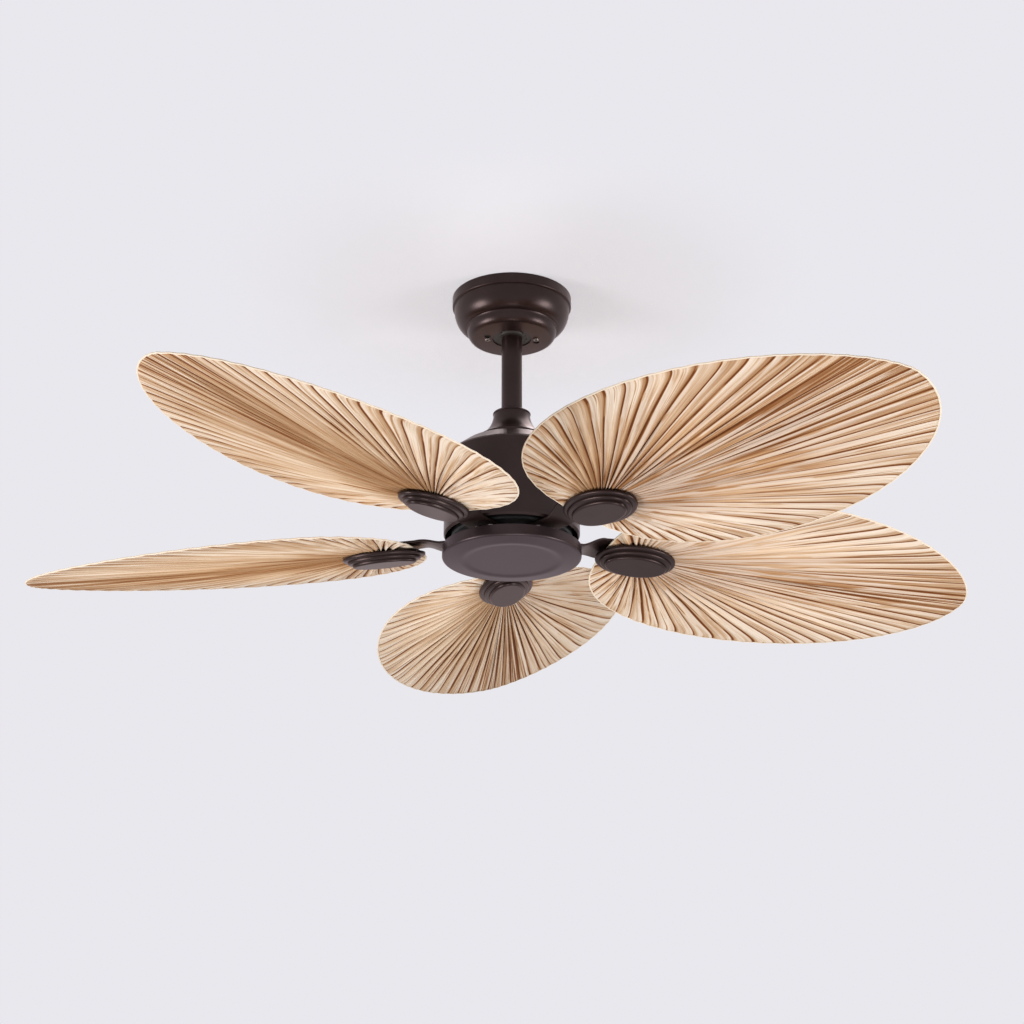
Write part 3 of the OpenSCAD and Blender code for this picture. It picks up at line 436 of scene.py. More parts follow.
class Paints:
    """All materials of the object, made once and shared by slot."""

    def __init__(self, leaf: LeafFinish) -> None:
        """Builds the shared groups and every material.

        Args:
            leaf: Colours of the leaves.
        """
        self.patches = self._patch_group()
        self.fibres = self._fibre_group(leaf)
        self.metal = {finish.slot: self._metal(finish) for finish in METALS}
        self.medallion = self._metal(MEDALLION_BRONZE, "_medallion")
        self.dull = self._metal(DULL_ZINC, "_dull")
        self.leaf = self._leaf(leaf)
        self.hem = self._hem(leaf)

    @staticmethod
    def _patch_group() -> bpy.types.NodeTree:
        """Makes the group that mottles a metal's colour and roughness.

        Returns:
            The node group.
        """
        kit, given, made = node_group(
            "Shader", "MottledMetal",
            {"Dark": (0.1, 0.1, 0.1), "Light": (0.2, 0.2, 0.2), "Patch Scale": 20.0,
             "Roughness": 0.4, "Spread": 0.1},
            {"Color": "Color", "Roughness": "Float", "Relief": "Float"},
        )
        place = kit.add("ShaderNodeTexCoord").outputs["Object"]
        patch = kit.noise(place, given["Patch Scale"], 4.0)
        kit.fill(made, {
            "Color": kit.mix(patch.ramp(0.35, 0.65), given["Dark"], given["Light"]),
            "Roughness": (patch - 0.5) * given["Spread"] + given["Roughness"],
            "Relief": kit.noise(place, METAL_GRAIN_SCALE, 2.0),
        })
        return kit.tree

    @staticmethod
    def _fibre_group(leaf: LeafFinish) -> bpy.types.NodeTree:
        """Makes the group that colours a leaf from its fold and share attributes.

        Args:
            leaf: Colours of the leaf.

        Returns:
            The node group.
        """
        kit, given, made = node_group(
            "Shader", "LeafFibre",
            {"Fold": 0.0, "Share": 0.0, "Span": 0.02, "Seed": 0.0, "Painted Light": 0.5,
             "Cream": leaf.cream, "Tan": leaf.tan, "Pale": leaf.pale, "Brown": leaf.brown,
             "Crease": leaf.crease},
            {"Color": "Color", "Relief": "Float"},
        )
        fold, share, painted_light = given["Fold"], given["Share"], given["Painted Light"]

        def field(grain: Grain) -> Value:
            """Adds noise that is stretched along the pleats.

            Args:
                grain: Which noise.

            Returns:
                The noise.
            """
            across, along, shift, octaves = grain.value
            place = kit.add("ShaderNodeCombineXYZ", {0: fold * across, 1: share * along,
                                                     2: given["Seed"] + shift})
            return kit.noise(place, 1.0, octaves, 0.6)

        fibre, thread, pleat, stroke = map(field, (Grain.FIBRE, Grain.THREAD, Grain.PLEAT,
                                                   Grain.STROKE))
        # One fold line in two is a valley on the side that shows from below.
        phase = kit.math("FRACT", fold * 0.5)
        near = kit.math("PINGPONG", phase, 0.5) * 2.0
        # The line keeps its real width, so its share of a pleat shrinks outwards.
        thin = pleat.ramp(0.35, 0.7) * leaf.line_more + leaf.line
        spread = kit.math("MINIMUM", thin / (share * given["Span"] * 0.5 + leaf.line), 0.40)
        broken = field(Grain.BREAK).ramp(0.34, 0.50)
        # The crease line is painted shade, a thin dark line in the valley of each fold.
        line = (1.0 - near.ramp(spread * 0.35, spread)) * kit.math("MAXIMUM", broken, 0.42)
        # The ridge between two valleys has a fainter line, which comes and goes.
        back = near.ramp(1.0 - spread * 0.8, 1.0) * field(Grain.RIDGE).ramp(0.50, 0.66)
        # The fold's other side catches the light in a thin pale line.
        beside = (1.0 - phase) * 2.0
        lit = 1.0 - beside.ramp(spread * 1.5, spread * 4.0)
        lit = lit * kit.math("GREATER_THAN", phase, 0.5) * broken.ramp(0.2, 0.9)
        # Painted shade runs out in brown from one side of the line over the pleat; brown also runs
        # out from the clamp.
        side = (1.0 - phase.ramp(0.0, 0.36)) * pleat.ramp(0.22, 0.60)
        root = 1.0 - share.ramp(0.14, 0.50)
        # A dark streak with split lines follows the middle of the leaf.
        centre = kit.math("ABSOLUTE", fold - leaf.streak)
        middle = (1.0 - centre.ramp(1.5, 15.0)) * share.ramp(0.28, 0.60)
        # Paler outwards, in clouds, away from the middle streak, and more so where the leaf's
        # painted light is strong.
        pale = share * 0.50 + field(Grain.CLOUD) + centre.ramp(4.0, 34.0) * 0.45 + painted_light * 0.60
        edge = kit.math("MAXIMUM", centre.ramp(28.0, 50.0), share.ramp(0.50, 0.95))
        layers = (
            (edge * field(Grain.BLEACH).ramp(0.28, 0.56), 0.82, "Pale"),
            (field(Grain.ZONE).ramp(0.46, 0.68), 0.18, "Brown"),
            (stroke.ramp(0.46, 0.70), 0.48, "Brown"),
            (fibre.ramp(0.48, 0.74), 0.42, "Brown"),
            (thread.ramp(0.50, 0.78), 0.22, "Brown"),
            (thread.ramp(0.48, 0.25), 0.26, "Pale"),
            # Painted shade on one side of each fold.
            (side, 0.60, "Brown"),
            (root, 0.40, "Brown"),
            (middle * stroke.ramp(0.36, 0.54), 0.50, "Brown"),
            (lit, 0.60, "Pale"),
            (back, 0.60, "Crease"),
            (middle * field(Grain.SPLIT).ramp(0.55, 0.62), 0.80, "Crease"),
            # The crease line: painted shade in each fold.
            (line, 0.97, "Crease"),
        )
        # A leaf painted paler as painted light has fainter stains and fainter painted fold shade.
        strength = 1.25 - painted_light * 0.50
        colour = kit.mix(pale.ramp(0.90, 1.52), given["Tan"], given["Cream"])
        for mask, weight, paint in layers:
            if paint == "Brown":
                mask = mask * strength
            blend = kit.mix if paint == "Pale" else kit.stain
            colour = blend(kit.math("MULTIPLY", mask, weight, clamp=True), colour, given[paint])
        kit.fill(made, {"Color": colour, "Relief": fibre + thread - line})
        return kit.tree

    @staticmethod
    def _base(name: str) -> tuple[bpy.types.Material, Tree, bpy.types.Node]:
        """Starts a material.

        Args:
            name: The material's name.

        Returns:
            The material, its tree and its Principled node.
        """
        material = bpy.data.materials.new(name)
        material.use_nodes = True
        shader = material.node_tree.nodes["Principled BSDF"]
        return material, Tree(material.node_tree), shader

    def _metal(self, finish: MetalFinish, suffix: str = "") -> bpy.types.Material:
        """Makes the material of a metal finish.

        Args:
            finish: The finish.
            suffix: End of the material's name.

        Returns:
            The material.
        """
        material, kit, shader = self._base("Metal_" + finish.slot.value + suffix)
        group = kit.add("ShaderNodeGroup", node_tree=self.patches)
        kit.fill(group, {"Dark": finish.dark, "Light": finish.light, "Patch Scale": finish.patch,
                         "Roughness": finish.roughness, "Spread": finish.spread})
        kit.fill(shader, {
            "Base Color": group.outputs["Color"],
            "Roughness": group.outputs["Roughness"],
            "Normal": kit.bump(group.outputs["Relief"], finish.grain, METAL_RELIEF),
            "Metallic": finish.metallic,
            "Coat Weight": finish.coat,
            "Coat Roughness": finish.coat_roughness,
            "Specular Tint": finish.tint,
        })
        return material

    def _leaf(self, leaf: LeafFinish) -> bpy.types.Material:
        """Makes the leaf's material.

        Args:
            leaf: Colours of the leaf.

        Returns:
            The material.
        """
        material, kit, shader = self._base("Leaf_pleated")
        group = kit.add("ShaderNodeGroup", node_tree=self.fibres)
        # The last attribute carries the leaf's painted light: how much paler the leaf is painted.
        for label, name in (("Fold", "fold"), ("Share", "share"), ("Span", "span"),
                            ("Seed", "leaf_seed"), ("Painted Light", "painted_light")):
            attribute = kit.add("ShaderNodeAttribute", attribute_name=name)
            kit.put(attribute.outputs["Fac"], group.inputs[label])
        kit.fill(shader, {
            "Base Color": group.outputs["Color"],
            "Normal": kit.bump(group.outputs["Relief"], *leaf.relief),
            "Roughness": leaf.roughness,
            "Specular IOR Level": leaf.specular,
        })
        return material

    def _hem(self, leaf: LeafFinish) -> bpy.types.Material:
        """Makes the material of the binding round a leaf.

        Args:
            leaf: Colours of the leaf.

        Returns:
            The material.
        """
        material, kit, shader = self._base("Leaf_hem")
        weave = kit.noise(kit.add("ShaderNodeTexCoord").outputs["Object"], leaf.weave, 2.0)
        kit.fill(shader, {
            "Base Color": kit.mix(weave.ramp(0.35, 0.8), leaf.hem, leaf.cream),
            "Normal": kit.bump(weave, *leaf.hem_relief),
            "Roughness": leaf.roughness,
        })
        return material


# ------------------------------------------------------------------ places and meshes

# Vertices, one row each, and the vertex numbers of each face.
Body = tuple[np.ndarray, list]


def turned(angle: float, axis: str = "Z") -> Matrix:
    """Turns about an axis by an angle in degrees."""
    return Matrix.Rotation(math.radians(angle), 4, axis)


def turns_round(count: int, first: float) -> tuple[Matrix, ...]:
    """Turns about the fan's axis in equal steps, the first angle in degrees."""
    return tuple(turned(first + k * 360 / count) for k in range(count))


BLADE_TURNS = turns_round(BLADE_COUNT, FIRST_ANGLE)


def clamp_place(turn: Matrix) -> Matrix:
    """Gives the pitched frame of the leaf's clamp on the blade with this turn."""
    level = turn @ Matrix.Translation((CLAMP_R, 0, CLAMP_Z))
    return level @ turned(DROOP, "Y") @ turned(-PITCH, "X")


def moved(points: np.ndarray, place: Matrix) -> np.ndarray:
    """Carries points, one row each, from the frame of a place to the one outside it."""
    world = np.array(place)
    return points @ world[:3, :3].T + world[:3, 3]


def oval(half: tuple[float, float], z: float, around: int,
         middle: tuple[float, float] = (0.0, 0.0)) -> np.ndarray:
    """Sets out the points of a level oval.

    Args:
        half: Half its length and half its width.
        z: Its height.
        around: Number of points.
        middle: X and Y of its middle.

    Returns:
        The points, one row each.
    """
    turn = np.linspace(0, 2 * np.pi, around, endpoint=False)
    return np.column_stack((middle[0] + half[0] * np.cos(turn),
                            middle[1] + half[1] * np.sin(turn), np.full(around, z)))


def ring_faces(rings: int, around: int) -> list:
    """Lists the faces of an open tube.

    Args:
        rings: Number of rings.
        around: Points in a ring.

    Returns:
        Four vertex numbers per face.
    """
    faces = []
    for r in range(rings - 1):
        for k in range(around):
            a, b = r * around + k, r * around + (k + 1) % around
            faces.append((a, b, b + around, a + around))
    return faces


def loft(rings: list[np.ndarray]) -> Body:
    """Skins rings to a body with flat ends.

    Args:
        rings: Points of each ring, all of one count.

    Returns:
        The body.
    """
    around, last = len(rings[0]), (len(rings) - 1) * len(rings[0])
    ends = [tuple(reversed(range(around))), tuple(range(last, last + around))]
    return np.vstack(rings), ring_faces(len(rings), around) + ends


def prism(outline: tuple, low: float, high: float) -> Body:
    """Raises an outline of X and Y from a low height to a high one."""
    return loft([np.column_stack((outline, np.full(len(outline), z))) for z in (low, high)])


def together(body: Body, more: Body) -> Body:
    """Puts two bodies into one.

    Args:
        body: The first one.
        more: The second one, whose vertices and faces come last.

    Returns:
        Both as one.
    """
    first = len(body[0])
    faces = [tuple(first + k for k in face) for face in more[1]]
    return np.vstack((body[0], more[0])), body[1] + faces


def linked(name: str, data: bpy.types.ID) -> bpy.types.Object:
    """Makes an object and links it to the scene.

    Args:
        name: The object's name.
        data: The mesh, light or camera that it shows.

    Returns:
        The object.
    """
    thing = bpy.data.objects.new(name, data)
    bpy.context.scene.collection.objects.link(thing)
    return thing


def mesh_object(name: str, body: Body, smooth: bool = True) -> bpy.types.Object:
    """Makes a mesh object at the origin.

    Args:
        name: The object's name.
        body: Its vertices and faces.
        smooth: Whether faces are shaded smooth.

    Returns:
        The object, linked to the scene.
    """
    mesh = bpy.data.meshes.new(name)
    mesh.from_pydata([tuple(p) for p in body[0]], [], body[1])
    mesh.polygons.foreach_set("use_smooth", [smooth] * len(mesh.polygons))
    mesh.update()
    return linked(name, mesh)


def face_outward(thing: bpy.types.Object) -> None:
    """Turns a closed mesh's faces outward, by its signed volume.

    Args:
        thing: The mesh object.
    """
    mesh = thing.data
    mesh.calc_loop_triangles()
    tris = np.empty(len(mesh.loop_triangles) * 3, np.int32)
    mesh.loop_triangles.foreach_get("vertices", tris)
    co = np.empty(len(mesh.vertices) * 3)
    mesh.vertices.foreach_get("co", co)
    a, b, c = co.reshape(-1, 3)[tris.reshape(-1, 3)].transpose(1, 0, 2)
    if np.einsum("ij,ij->i", a, np.cross(b, c)).sum() < 0:
        mesh.flip_normals()


def sharpen(thing: bpy.types.Object, angle: float) -> None:
    """Keeps edges sharper than an angle in degrees crisp under smooth shading."""
    thing.data.set_sharp_from_angle(angle=math.radians(angle))


def evaluated(thing: bpy.types.Object) -> bpy.types.Mesh:
    """Keeps what an object's modifiers make of its mesh.

    Args:
        thing: The mesh object.

    Returns:
        A mesh of its own.
    """
    bpy.context.view_layer.update()
    graph = bpy.context.evaluated_depsgraph_get()
    return bpy.data.meshes.new_from_object(thing.evaluated_get(graph),
                                           preserve_all_data_layers=True, depsgraph=graph)


def cut_away(thing: bpy.types.Object, tool: bpy.types.Object, turn: float) -> None:
    """Cuts one closed mesh out of another and removes the tool.

    Args:
        thing: The mesh object that is cut.
        tool: The mesh object whose room is taken away.
        turn: How far the tool is turned about Z first, in degrees.
    """
    tool.data.transform(turned(turn))
    cut = thing.modifiers.new("Cut", "BOOLEAN")
    cut.operation = "DIFFERENCE"
    cut.solver = "EXACT"
    cut.object = tool
    mesh = evaluated(thing)
    thing.modifiers.remove(cut)
    thing.data = mesh
    bpy.data.objects.remove(tool)


def modified(source: bpy.types.Object, group: bpy.types.NodeTree, values: dict[str, object],
             name: str) -> bpy.types.Object:
    """Runs a geometry node group on an object and keeps the result as a plain mesh.

    Args:
        source: The object to start from; it is removed afterwards.
        group: The geometry node group.
        values: Input values by socket name.
        name: Name of the new object.

    Returns:
        The new mesh object.
    """
    modifier = source.modifiers.new("Nodes", "NODES")
    modifier.node_group = group
    for item in group.interface.items_tree:
        if item.item_type == "SOCKET" and item.in_out == "INPUT" and item.name in values:
            modifier[item.identifier] = values[item.name]
    source.update_tag()
    mesh = evaluated(source)
    bpy.data.objects.remove(source)
    mesh.name = name
    return linked(name, mesh)


def title(node: str) -> str:
    """Turns a frame node's name into that of the piece which stands for it."""
    return "".join(word.capitalize() for word in node.split("_"))


class Assembly:
    """Pieces of one kind, built from their sizes and the shared materials."""

    def __init__(self, size: object, paints: Paints) -> None:
        """Keeps the materials and the sizes, or the frame's own nodes where those stay."""
        self.size = size
        self.paints = paints

    @staticmethod
    def _fitted(piece: bpy.types.Object, body: str, node: str, slot: Slot,
                paint: bpy.types.Material | None = None) -> bpy.types.Object:
        """Fits a piece into the fan.

        Args:
            piece: The piece.
            body: The body it rides on.
            node: The frame node it stands for.
            slot: Its material slot; not used.
            paint: Its material, where it has none yet.

        Returns:
            The piece.
        """
        if paint:
            piece.data.materials.clear()
            piece.data.materials.append(paint)
        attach(piece, body)
        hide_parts(node)
        return piece


class BladePieces(Assembly):
    """Pieces that come once for each blade and ride on the rotor."""

    node = ""
    slot = Slot.BRONZE

    def _piece(self, index: int, name: str) -> bpy.types.Object:
        """Makes the piece of the blade with this number, painted and in its place."""
        raise NotImplementedError

    def build(self) -> list[bpy.types.Object]:
        """Makes the pieces of all blades.

        Returns:
            The pieces.
        """
        return [self._fitted(self._piece(k, f"{title(self.node)}_{k + 1}"), "rotor",
                             f"{self.node}_{k + 1}", self.slot) for k in range(BLADE_COUNT)]

    @staticmethod
    def _crisp(name: str, body: Body, paint: bpy.types.Material) -> bpy.types.Object:
        """Makes a painted piece with faces outward and crisp edges.

        Args:
            name: The piece's name.
            body: Its vertices and faces.
            paint: Its material.

        Returns:
            The piece.
        """
        piece = mesh_object(name, body)
        face_outward(piece)
        sharpen(piece, 50)
        piece.data.materials.append(paint)
        return piece


# ------------------------------------------------------------------ leaves


@dataclass(frozen=True)
class LeafSize:
    """Sizes of a leaf in metres, as in the frame.

    Attributes:
        root: Clamp to root end.
        reach: Clamp to tip.
        lead_w: Widest half on the leading side.
        trail_w: Widest half on the trailing side.
        lead_powers: Fullness of the leading side at root and tip.
        trail_powers: Fullness of the trailing side at root and tip.
        thickness: Thickness of the leaf.
        folds: Fold lines round the leaf.
        parts: Columns of faces between two fold lines.
        rings: Rings of faces from clamp to edge.
        inner: Share of the way to the edge where the first ring lies.
        outer: Share where the last ring lies.
        height: Largest height of a fold over the middle surface.
        slope: Height of a fold per width.
        fade: Share of the height lost at the edge.
        vigour: Least and greatest share of its height that a fold has.
        stray: How far a fold line wanders sideways.
        bend: Sideways bend of the fold lines.
        root_bend: Share of the bend that is there at the root.
        hook: How far they hook just before the edge.
        hook_power: How close to the edge the hook begins.
        curl: Rise along the leaf per metre squared.
        cup: Rise across the leaf per metre squared.
        twist: Growth of pitch along the leaf.
        flat_x: Half length of the flat zone at the clamp.
        flat_y: Half width of that zone.
        hem_r: Radius of the binding.
        hem_sides: Sides of the binding's section.
        weld: Distance under which vertices become one.
    """

    root: float = 0.044
    reach: float = 0.4915
    lead_w: float = 0.1748
    trail_w: float = 0.1736
    lead_powers: tuple[float, float] = (0.385, 0.64)
    trail_powers: tuple[float, float] = (0.377, 0.518)
    thickness: float = 0.0016
    folds: int = 112
    parts: int = 6
    rings: int = 46
    inner: float = 0.10
    outer: float = 0.992
    height: float = 0.0032
    slope: float = 0.5
    fade: float = 0.9
    vigour: tuple[float, float] = (0.62, 1.0)
    stray: float = 0.0011
    bend: float = 0.3
    root_bend: float = 0.3
    hook: float = 2.2
    hook_power: int = 12
    curl: float = 0.06
    cup: float = 0.1
    twist: float = 0.08
    flat_x: float = 0.04
    flat_y: float = 0.03
    hem_r: float = 0.0011
    hem_sides: int = 8
    weld: float = 0.00002


class LeafBlades(BladePieces):
    """Five pleated, hemmed palm leaves."""

    node = "leaf_blade"
    slot = Slot.LEAF

    def __init__(self, size: LeafSize, paints: Paints) -> None:
        """Keeps sizes and materials and builds the node group.

        Args:
            size: Sizes of a leaf.
            paints: The materials.
        """
        super().__init__(size, paints)
        self.folding = {"Pleat Height": size.height, "Pleat Slope": size.slope,
                        "Edge Fade": size.fade, "Thickness": size.thickness,
                        "Hem Radius": size.hem_r}
        self.group = self._pleat_group()

    @staticmethod
    def _half(t: np.ndarray, width: float, powers: tuple[float, float]) -> np.ndarray:
        """Works out half widths at shares t of the leaf's length, from root to tip."""
        peak = powers[0] / sum(powers)
        return width * (t / peak) ** powers[0] * ((1 - t) / (1 - peak)) ** powers[1]

    def _edge(self) -> np.ndarray:
        """Works out the outline, from the root along the trailing side and back.

        Returns:
            Place of each fold line's outer end, one row each.
        """
        s, k = self.size, np.arange(self.size.folds)
        half = s.folds // 2
        t = (1 - np.cos(np.pi * np.where(k <= half, k, s.folds - k) / half)) / 2
        y = np.where(k <= half, self._half(t, s.trail_w, s.trail_powers),
                     -self._half(t, s.lead_w, s.lead_powers))
        return np.column_stack((t * (s.root + s.reach) - s.root, y))

    def _rise(self, x: np.ndarray, y: np.ndarray) -> np.ndarray:
        """Works out the middle surface: flat at the clamp, then curled, cupped and twisted.

        Args:
            x: Places along the leaf.
            y: Places across the leaf.

        Returns:
            The heights.
        """
        s = self.size
        out = np.maximum(0, x - s.flat_x)
        wide = np.maximum(0, abs(y) - s.flat_y)
        return s.curl * out**2 + s.cup * wide**2 - s.twist * y * out

    def _sheet(self, index: int) -> bpy.types.Object:
        """Makes the unpleated sheet with the attributes that the pleats need.

        Args:
            index: Blade number, which also seeds its irregularities.

        Returns:
            The sheet in the clamp's frame.
        """
        s, rng = self.size, np.random.default_rng(40 + index)
        count = s.folds * s.parts
        column = np.arange(count) / s.parts
        low = np.floor(column).astype(int)
        part = column - low

        def between(values: np.ndarray) -> np.ndarray:
            """Carries values at the fold lines over to every column."""
            share = part[:, None] if values.ndim > 1 else part
            return values[low] * (1 - share) + values[(low + 1) % s.folds] * share

        edge = self._edge()
        outline = between(edge)
        span = np.linalg.norm(np.roll(edge, -1, 0) - np.roll(edge, 1, 0), axis=1)
        vigour = rng.uniform(*s.vigour, s.folds)
        stray = rng.normal(0, 1.0, s.folds)
        shares = s.inner + (s.outer - s.inner) * np.linspace(0, 1, s.rings)
        u = shares[:, None]
        along = outline / np.linalg.norm(outline, axis=1)[:, None]
        sideways = np.column_stack((-along[:, 1], along[:, 0])) * between(stray)[:, None]
        sway = (4 * shares * (1 - shares))[:, None, None] * sideways[None] * s.stray
        # Near the root the fold lines run straight; towards the tip they bend and hook.
        tipward = np.clip(outline[:, 0] / s.reach, 0, 1)
        drift = (s.bend * (s.root_bend + (1 - s.root_bend) * tipward) * u
                 + s.hook * tipward * u**s.hook_power) * (1 - u)
        x = u * outline[:, 0] + drift * abs(outline[:, 1]) + sway[..., 0]
        y = u * outline[:, 1] + sway[..., 1]
        points = np.column_stack((x.ravel(), y.ravel(), self._rise(x, y).ravel()))
        # Seen from above, columns run with the clock, so these faces look up.
        pole = len(points)
        faces = ring_faces(s.rings, count) + [(k, pole, (k + 1) % count) for k in range(count)]
        thing = mesh_object("sheet", (np.vstack((points, [[0, 0, 0]])), faces))
        columns = {
            "fold": column,
            "wave": np.where(low % 2 == 0, 1, -1) * (1 - 2 * part),
            "span": between(span),
            "vigour": between(vigour),
        }
        fields = {name: np.tile(values, s.rings) for name, values in columns.items()}
        fields["share"] = np.repeat(shares, count)
        fields = {name: np.append(values, 0) for name, values in fields.items()}
        fields["leaf_seed"] = np.full(pole + 1, 10.0 * index)
        # Each leaf's painted light: how much paler it is painted, in place of how brightly it is
        # lit.
        fields["painted_light"] = np.full(pole + 1, LEAF_PAINTED_LIGHT[index])
        for name, values in fields.items():
            layer = thing.data.attributes.new(name, "FLOAT", "POINT")
            layer.data.foreach_set("value", values.astype(np.float32))
        return thing

    def _pleat_group(self) -> bpy.types.NodeTree:
        """Makes the group that folds a sheet, gives it thickness and binds its edge.

        Returns:
            The geometry node group.
        """
        s = self.size
        kit, given, made = node_group(
            "Geometry", "PleatField",
            {"Geometry": "Geometry", **self.folding, "Place": "Vector", "Turn": "Rotation",
             "Leaf Material": "Material", "Hem Material": "Material"},
            {"Geometry": "Geometry"},
        )
        share, half = kit.named("share"), given["Thickness"] * 0.5
        height = kit.math("MINIMUM", share * kit.named("span") * given["Pleat Slope"],
                          given["Pleat Height"])
        fade = kit.math("POWER", share, 3.0) * given["Edge Fade"]
        height = height * (1.0 - fade) * kit.named("vigour") * kit.named("wave")
        folded = kit.add("GeometryNodeSetPosition", {"Geometry": given["Geometry"],
                                                     "Offset": kit.upright(height + half)})
        body = kit.add("GeometryNodeExtrudeMesh",
                       {"Mesh": folded, "Offset": kit.upright(given["Thickness"] * -1.0),
                        "Offset Scale": 1.0, "Individual": False}, mode="FACES")
        both = kit.joined(kit.add("GeometryNodeFlipFaces", {"Mesh": body}), folded)
        welded = kit.add("GeometryNodeMergeByDistance", {"Geometry": both, "Distance": s.weld})
        painted = kit.add("GeometryNodeSetMaterial", {"Geometry": welded,
                                                      "Material": given["Leaf Material"]})
        # The binding follows the sheet's open edge, where an edge has one face.
        rim = kit.add("FunctionNodeCompare", data_type="INT", operation="EQUAL")
        sides = kit.add("GeometryNodeInputMeshEdgeNeighbors")
        whole = [socket for socket in rim.inputs if socket.type == "INT"]
        kit.put(sides, whole[0])
        kit.put(1, whole[1])
        line = kit.add("GeometryNodeMeshToCurve", {"Mesh": folded, "Selection": rim})
        sunk = kit.add("GeometryNodeSetPosition", {"Geometry": line,
                                                   "Offset": kit.upright(half * -1.0)})
        profile = kit.add("GeometryNodeCurvePrimitiveCircle",
                          {"Resolution": s.hem_sides, "Radius": given["Hem Radius"]},
                          mode="RADIUS")
        tube = kit.add("GeometryNodeCurveToMesh", {"Curve": sunk, "Profile Curve": profile})
        bound = kit.add("GeometryNodeSetMaterial", {"Geometry": tube,
                                                    "Material": given["Hem Material"]})
        smooth = kit.add("GeometryNodeSetShadeSmooth", {"Geometry": kit.joined(bound, painted)})
        placed = kit.add("GeometryNodeTransform", {"Geometry": smooth,
                                                   "Translation": given["Place"],
                                                   "Rotation": given["Turn"]})
        kit.put(kit.add("GeometryNodeRealizeInstances", {0: placed}), made.inputs[0])
        return kit.tree

    def _piece(self, index: int, name: str) -> bpy.types.Object:
        """Makes the leaf of one blade.

        Args:
            index: Blade number from 0.
            name: The leaf's name.

        Returns:
            The leaf.
        """
        place = clamp_place(BLADE_TURNS[index])
        values = {**self.folding, "Place": place.to_translation(), "Turn": place.to_euler(),
                  "Leaf Material": self.paints.leaf, "Hem Material": self.paints.hem}
        return modified(self._sheet(index), self.group, values, name)


# ------------------------------------------------------------------ medallions


@dataclass(frozen=True)
class MedallionSize:
    """Sizes of a stepped oval medallion in metres.

    Attributes:
        long_r: Half length.
        short_r: Half width.
        tier: Height of a tier.
        step: Setback of a tier.
        tiers: Number of tiers.
        lip: Inset of each ring of a tier's lip, and its drop as a share of the tier.
        shelf: Inset where the shelf under a lip ends.
        groove: How far the groove at the next tier's foot lies before that tier, and how deep
            it is as a share of a tier.
        floor: Insets of the last tier's flat underside.
        around: Points round the oval.
        boss_r: Radius of a boss.
        boss_around: Points round a boss.
        boss_root: How deep a boss starts inside the medallion.
        boss_gap: How far its end stays under the iron's plate.
    """

    long_r: float = 0.054
    short_r: float = 0.036
    tier: float = 0.004
    step: float = 0.006
    tiers: int = 3
    lip: tuple[tuple[float, float], ...] = (
        (0.0, 0.0), (0.0, 0.42), (0.00025, 0.62), (0.0008, 0.80), (0.0016, 0.93), (0.0026, 1.0),
        (0.0036, 1.0))
    shelf: float = 0.0052
    groove: tuple[float, float] = (0.0003, 0.06)
    floor: tuple[float, float] = (0.0075, 0.014)
    around: int = 144
    boss_r: float = 0.005
    boss_around: int = 24
    boss_root: float = 0.001
    boss_gap: float = 0.00005


class Medallions(BladePieces):
    """Five cast medallions under the leaves, with three bosses each."""

    node = "medallion"

    def _profile(self) -> list[tuple[float, float]]:
        """Lists the rings from the flat top down to the last tier.

        Returns:
            Inset and height of each ring.
        """
        s, rings = self.size, []
        for tier in range(s.tiers):
            rings += [(tier * s.step + inset, -(tier + drop) * s.tier) for inset, drop in s.lip]
            if tier < s.tiers - 1:
                rings.append((tier * s.step + s.shelf, -(tier + 1) * s.tier))
                rings.append(((tier + 1) * s.step - s.groove[0],
                              -(tier + 1 + s.groove[1]) * s.tier))
        last = (s.tiers - 1) * s.step
        return rings + [(last + inset, -s.tiers * s.tier) for inset in s.floor]

    def _piece(self, index: int, name: str) -> bpy.types.Object:
        """Makes the medallion of one blade.

        Args:
            index: Blade number from 0.
            name: The medallion's name.

        Returns:
            The medallion.
        """
        s, top = self.size, -CLAMP_GAP / 2
        body = loft([oval((s.long_r - inset, s.short_r - inset), top + z, s.around)
                     for inset, z in self._profile()])
        for spot in SCREW_SPOTS:
            points, faces = loft([oval((s.boss_r, s.boss_r), z, s.boss_around, spot)
                                  for z in (top - s.boss_root, CLAMP_GAP / 2 - s.boss_gap)])
            # A boss is set out upwards and the medallion downwards, so its faces are turned.
            body = together(body, (points, [tuple(reversed(face)) for face in faces]))
        body = moved(body[0], clamp_place(BLADE_TURNS[index])), body[1]
        return self._crisp(name, body, self.paints.medallion)


# ------------------------------------------------------------------ blade irons


@dataclass(frozen=True)
class IronSize:
    """Sizes of a blade iron in metres.

    Attributes:
        start: Fan axis to the strap's inner end.
        level: Fan axis to the end of the level strap.
        half: Half width of the strap.
        rise: Extra rise in the middle of the neck.
        plate_start: Inner end of the plate from the clamp's middle.
        neck_half: Half width of the plate at its inner end.
        long_r: Half length of the plate's oval.
        short_r: Half width of the plate's oval.
        oval_start: Where the plate's oval starts, in degrees from its outer end.
        tip_half: Least half width at that end.
        edge: Radius of the rounded edges.
        cuts: Sections along the strap, the neck and the plate.
    """

    start: float = 0.050
    level: float = 0.090
    half: float = 0.018
    rise: float = 0.0015
    plate_start: float = -0.048
    neck_half: float = 0.0235
    long_r: float = 0.0475
    short_r: float = 0.031
    oval_start: float = 118.0
    tip_half: float = 0.0005
    edge: float = 0.0007
    cuts: tuple[int, int, int] = (6, 18, 40)


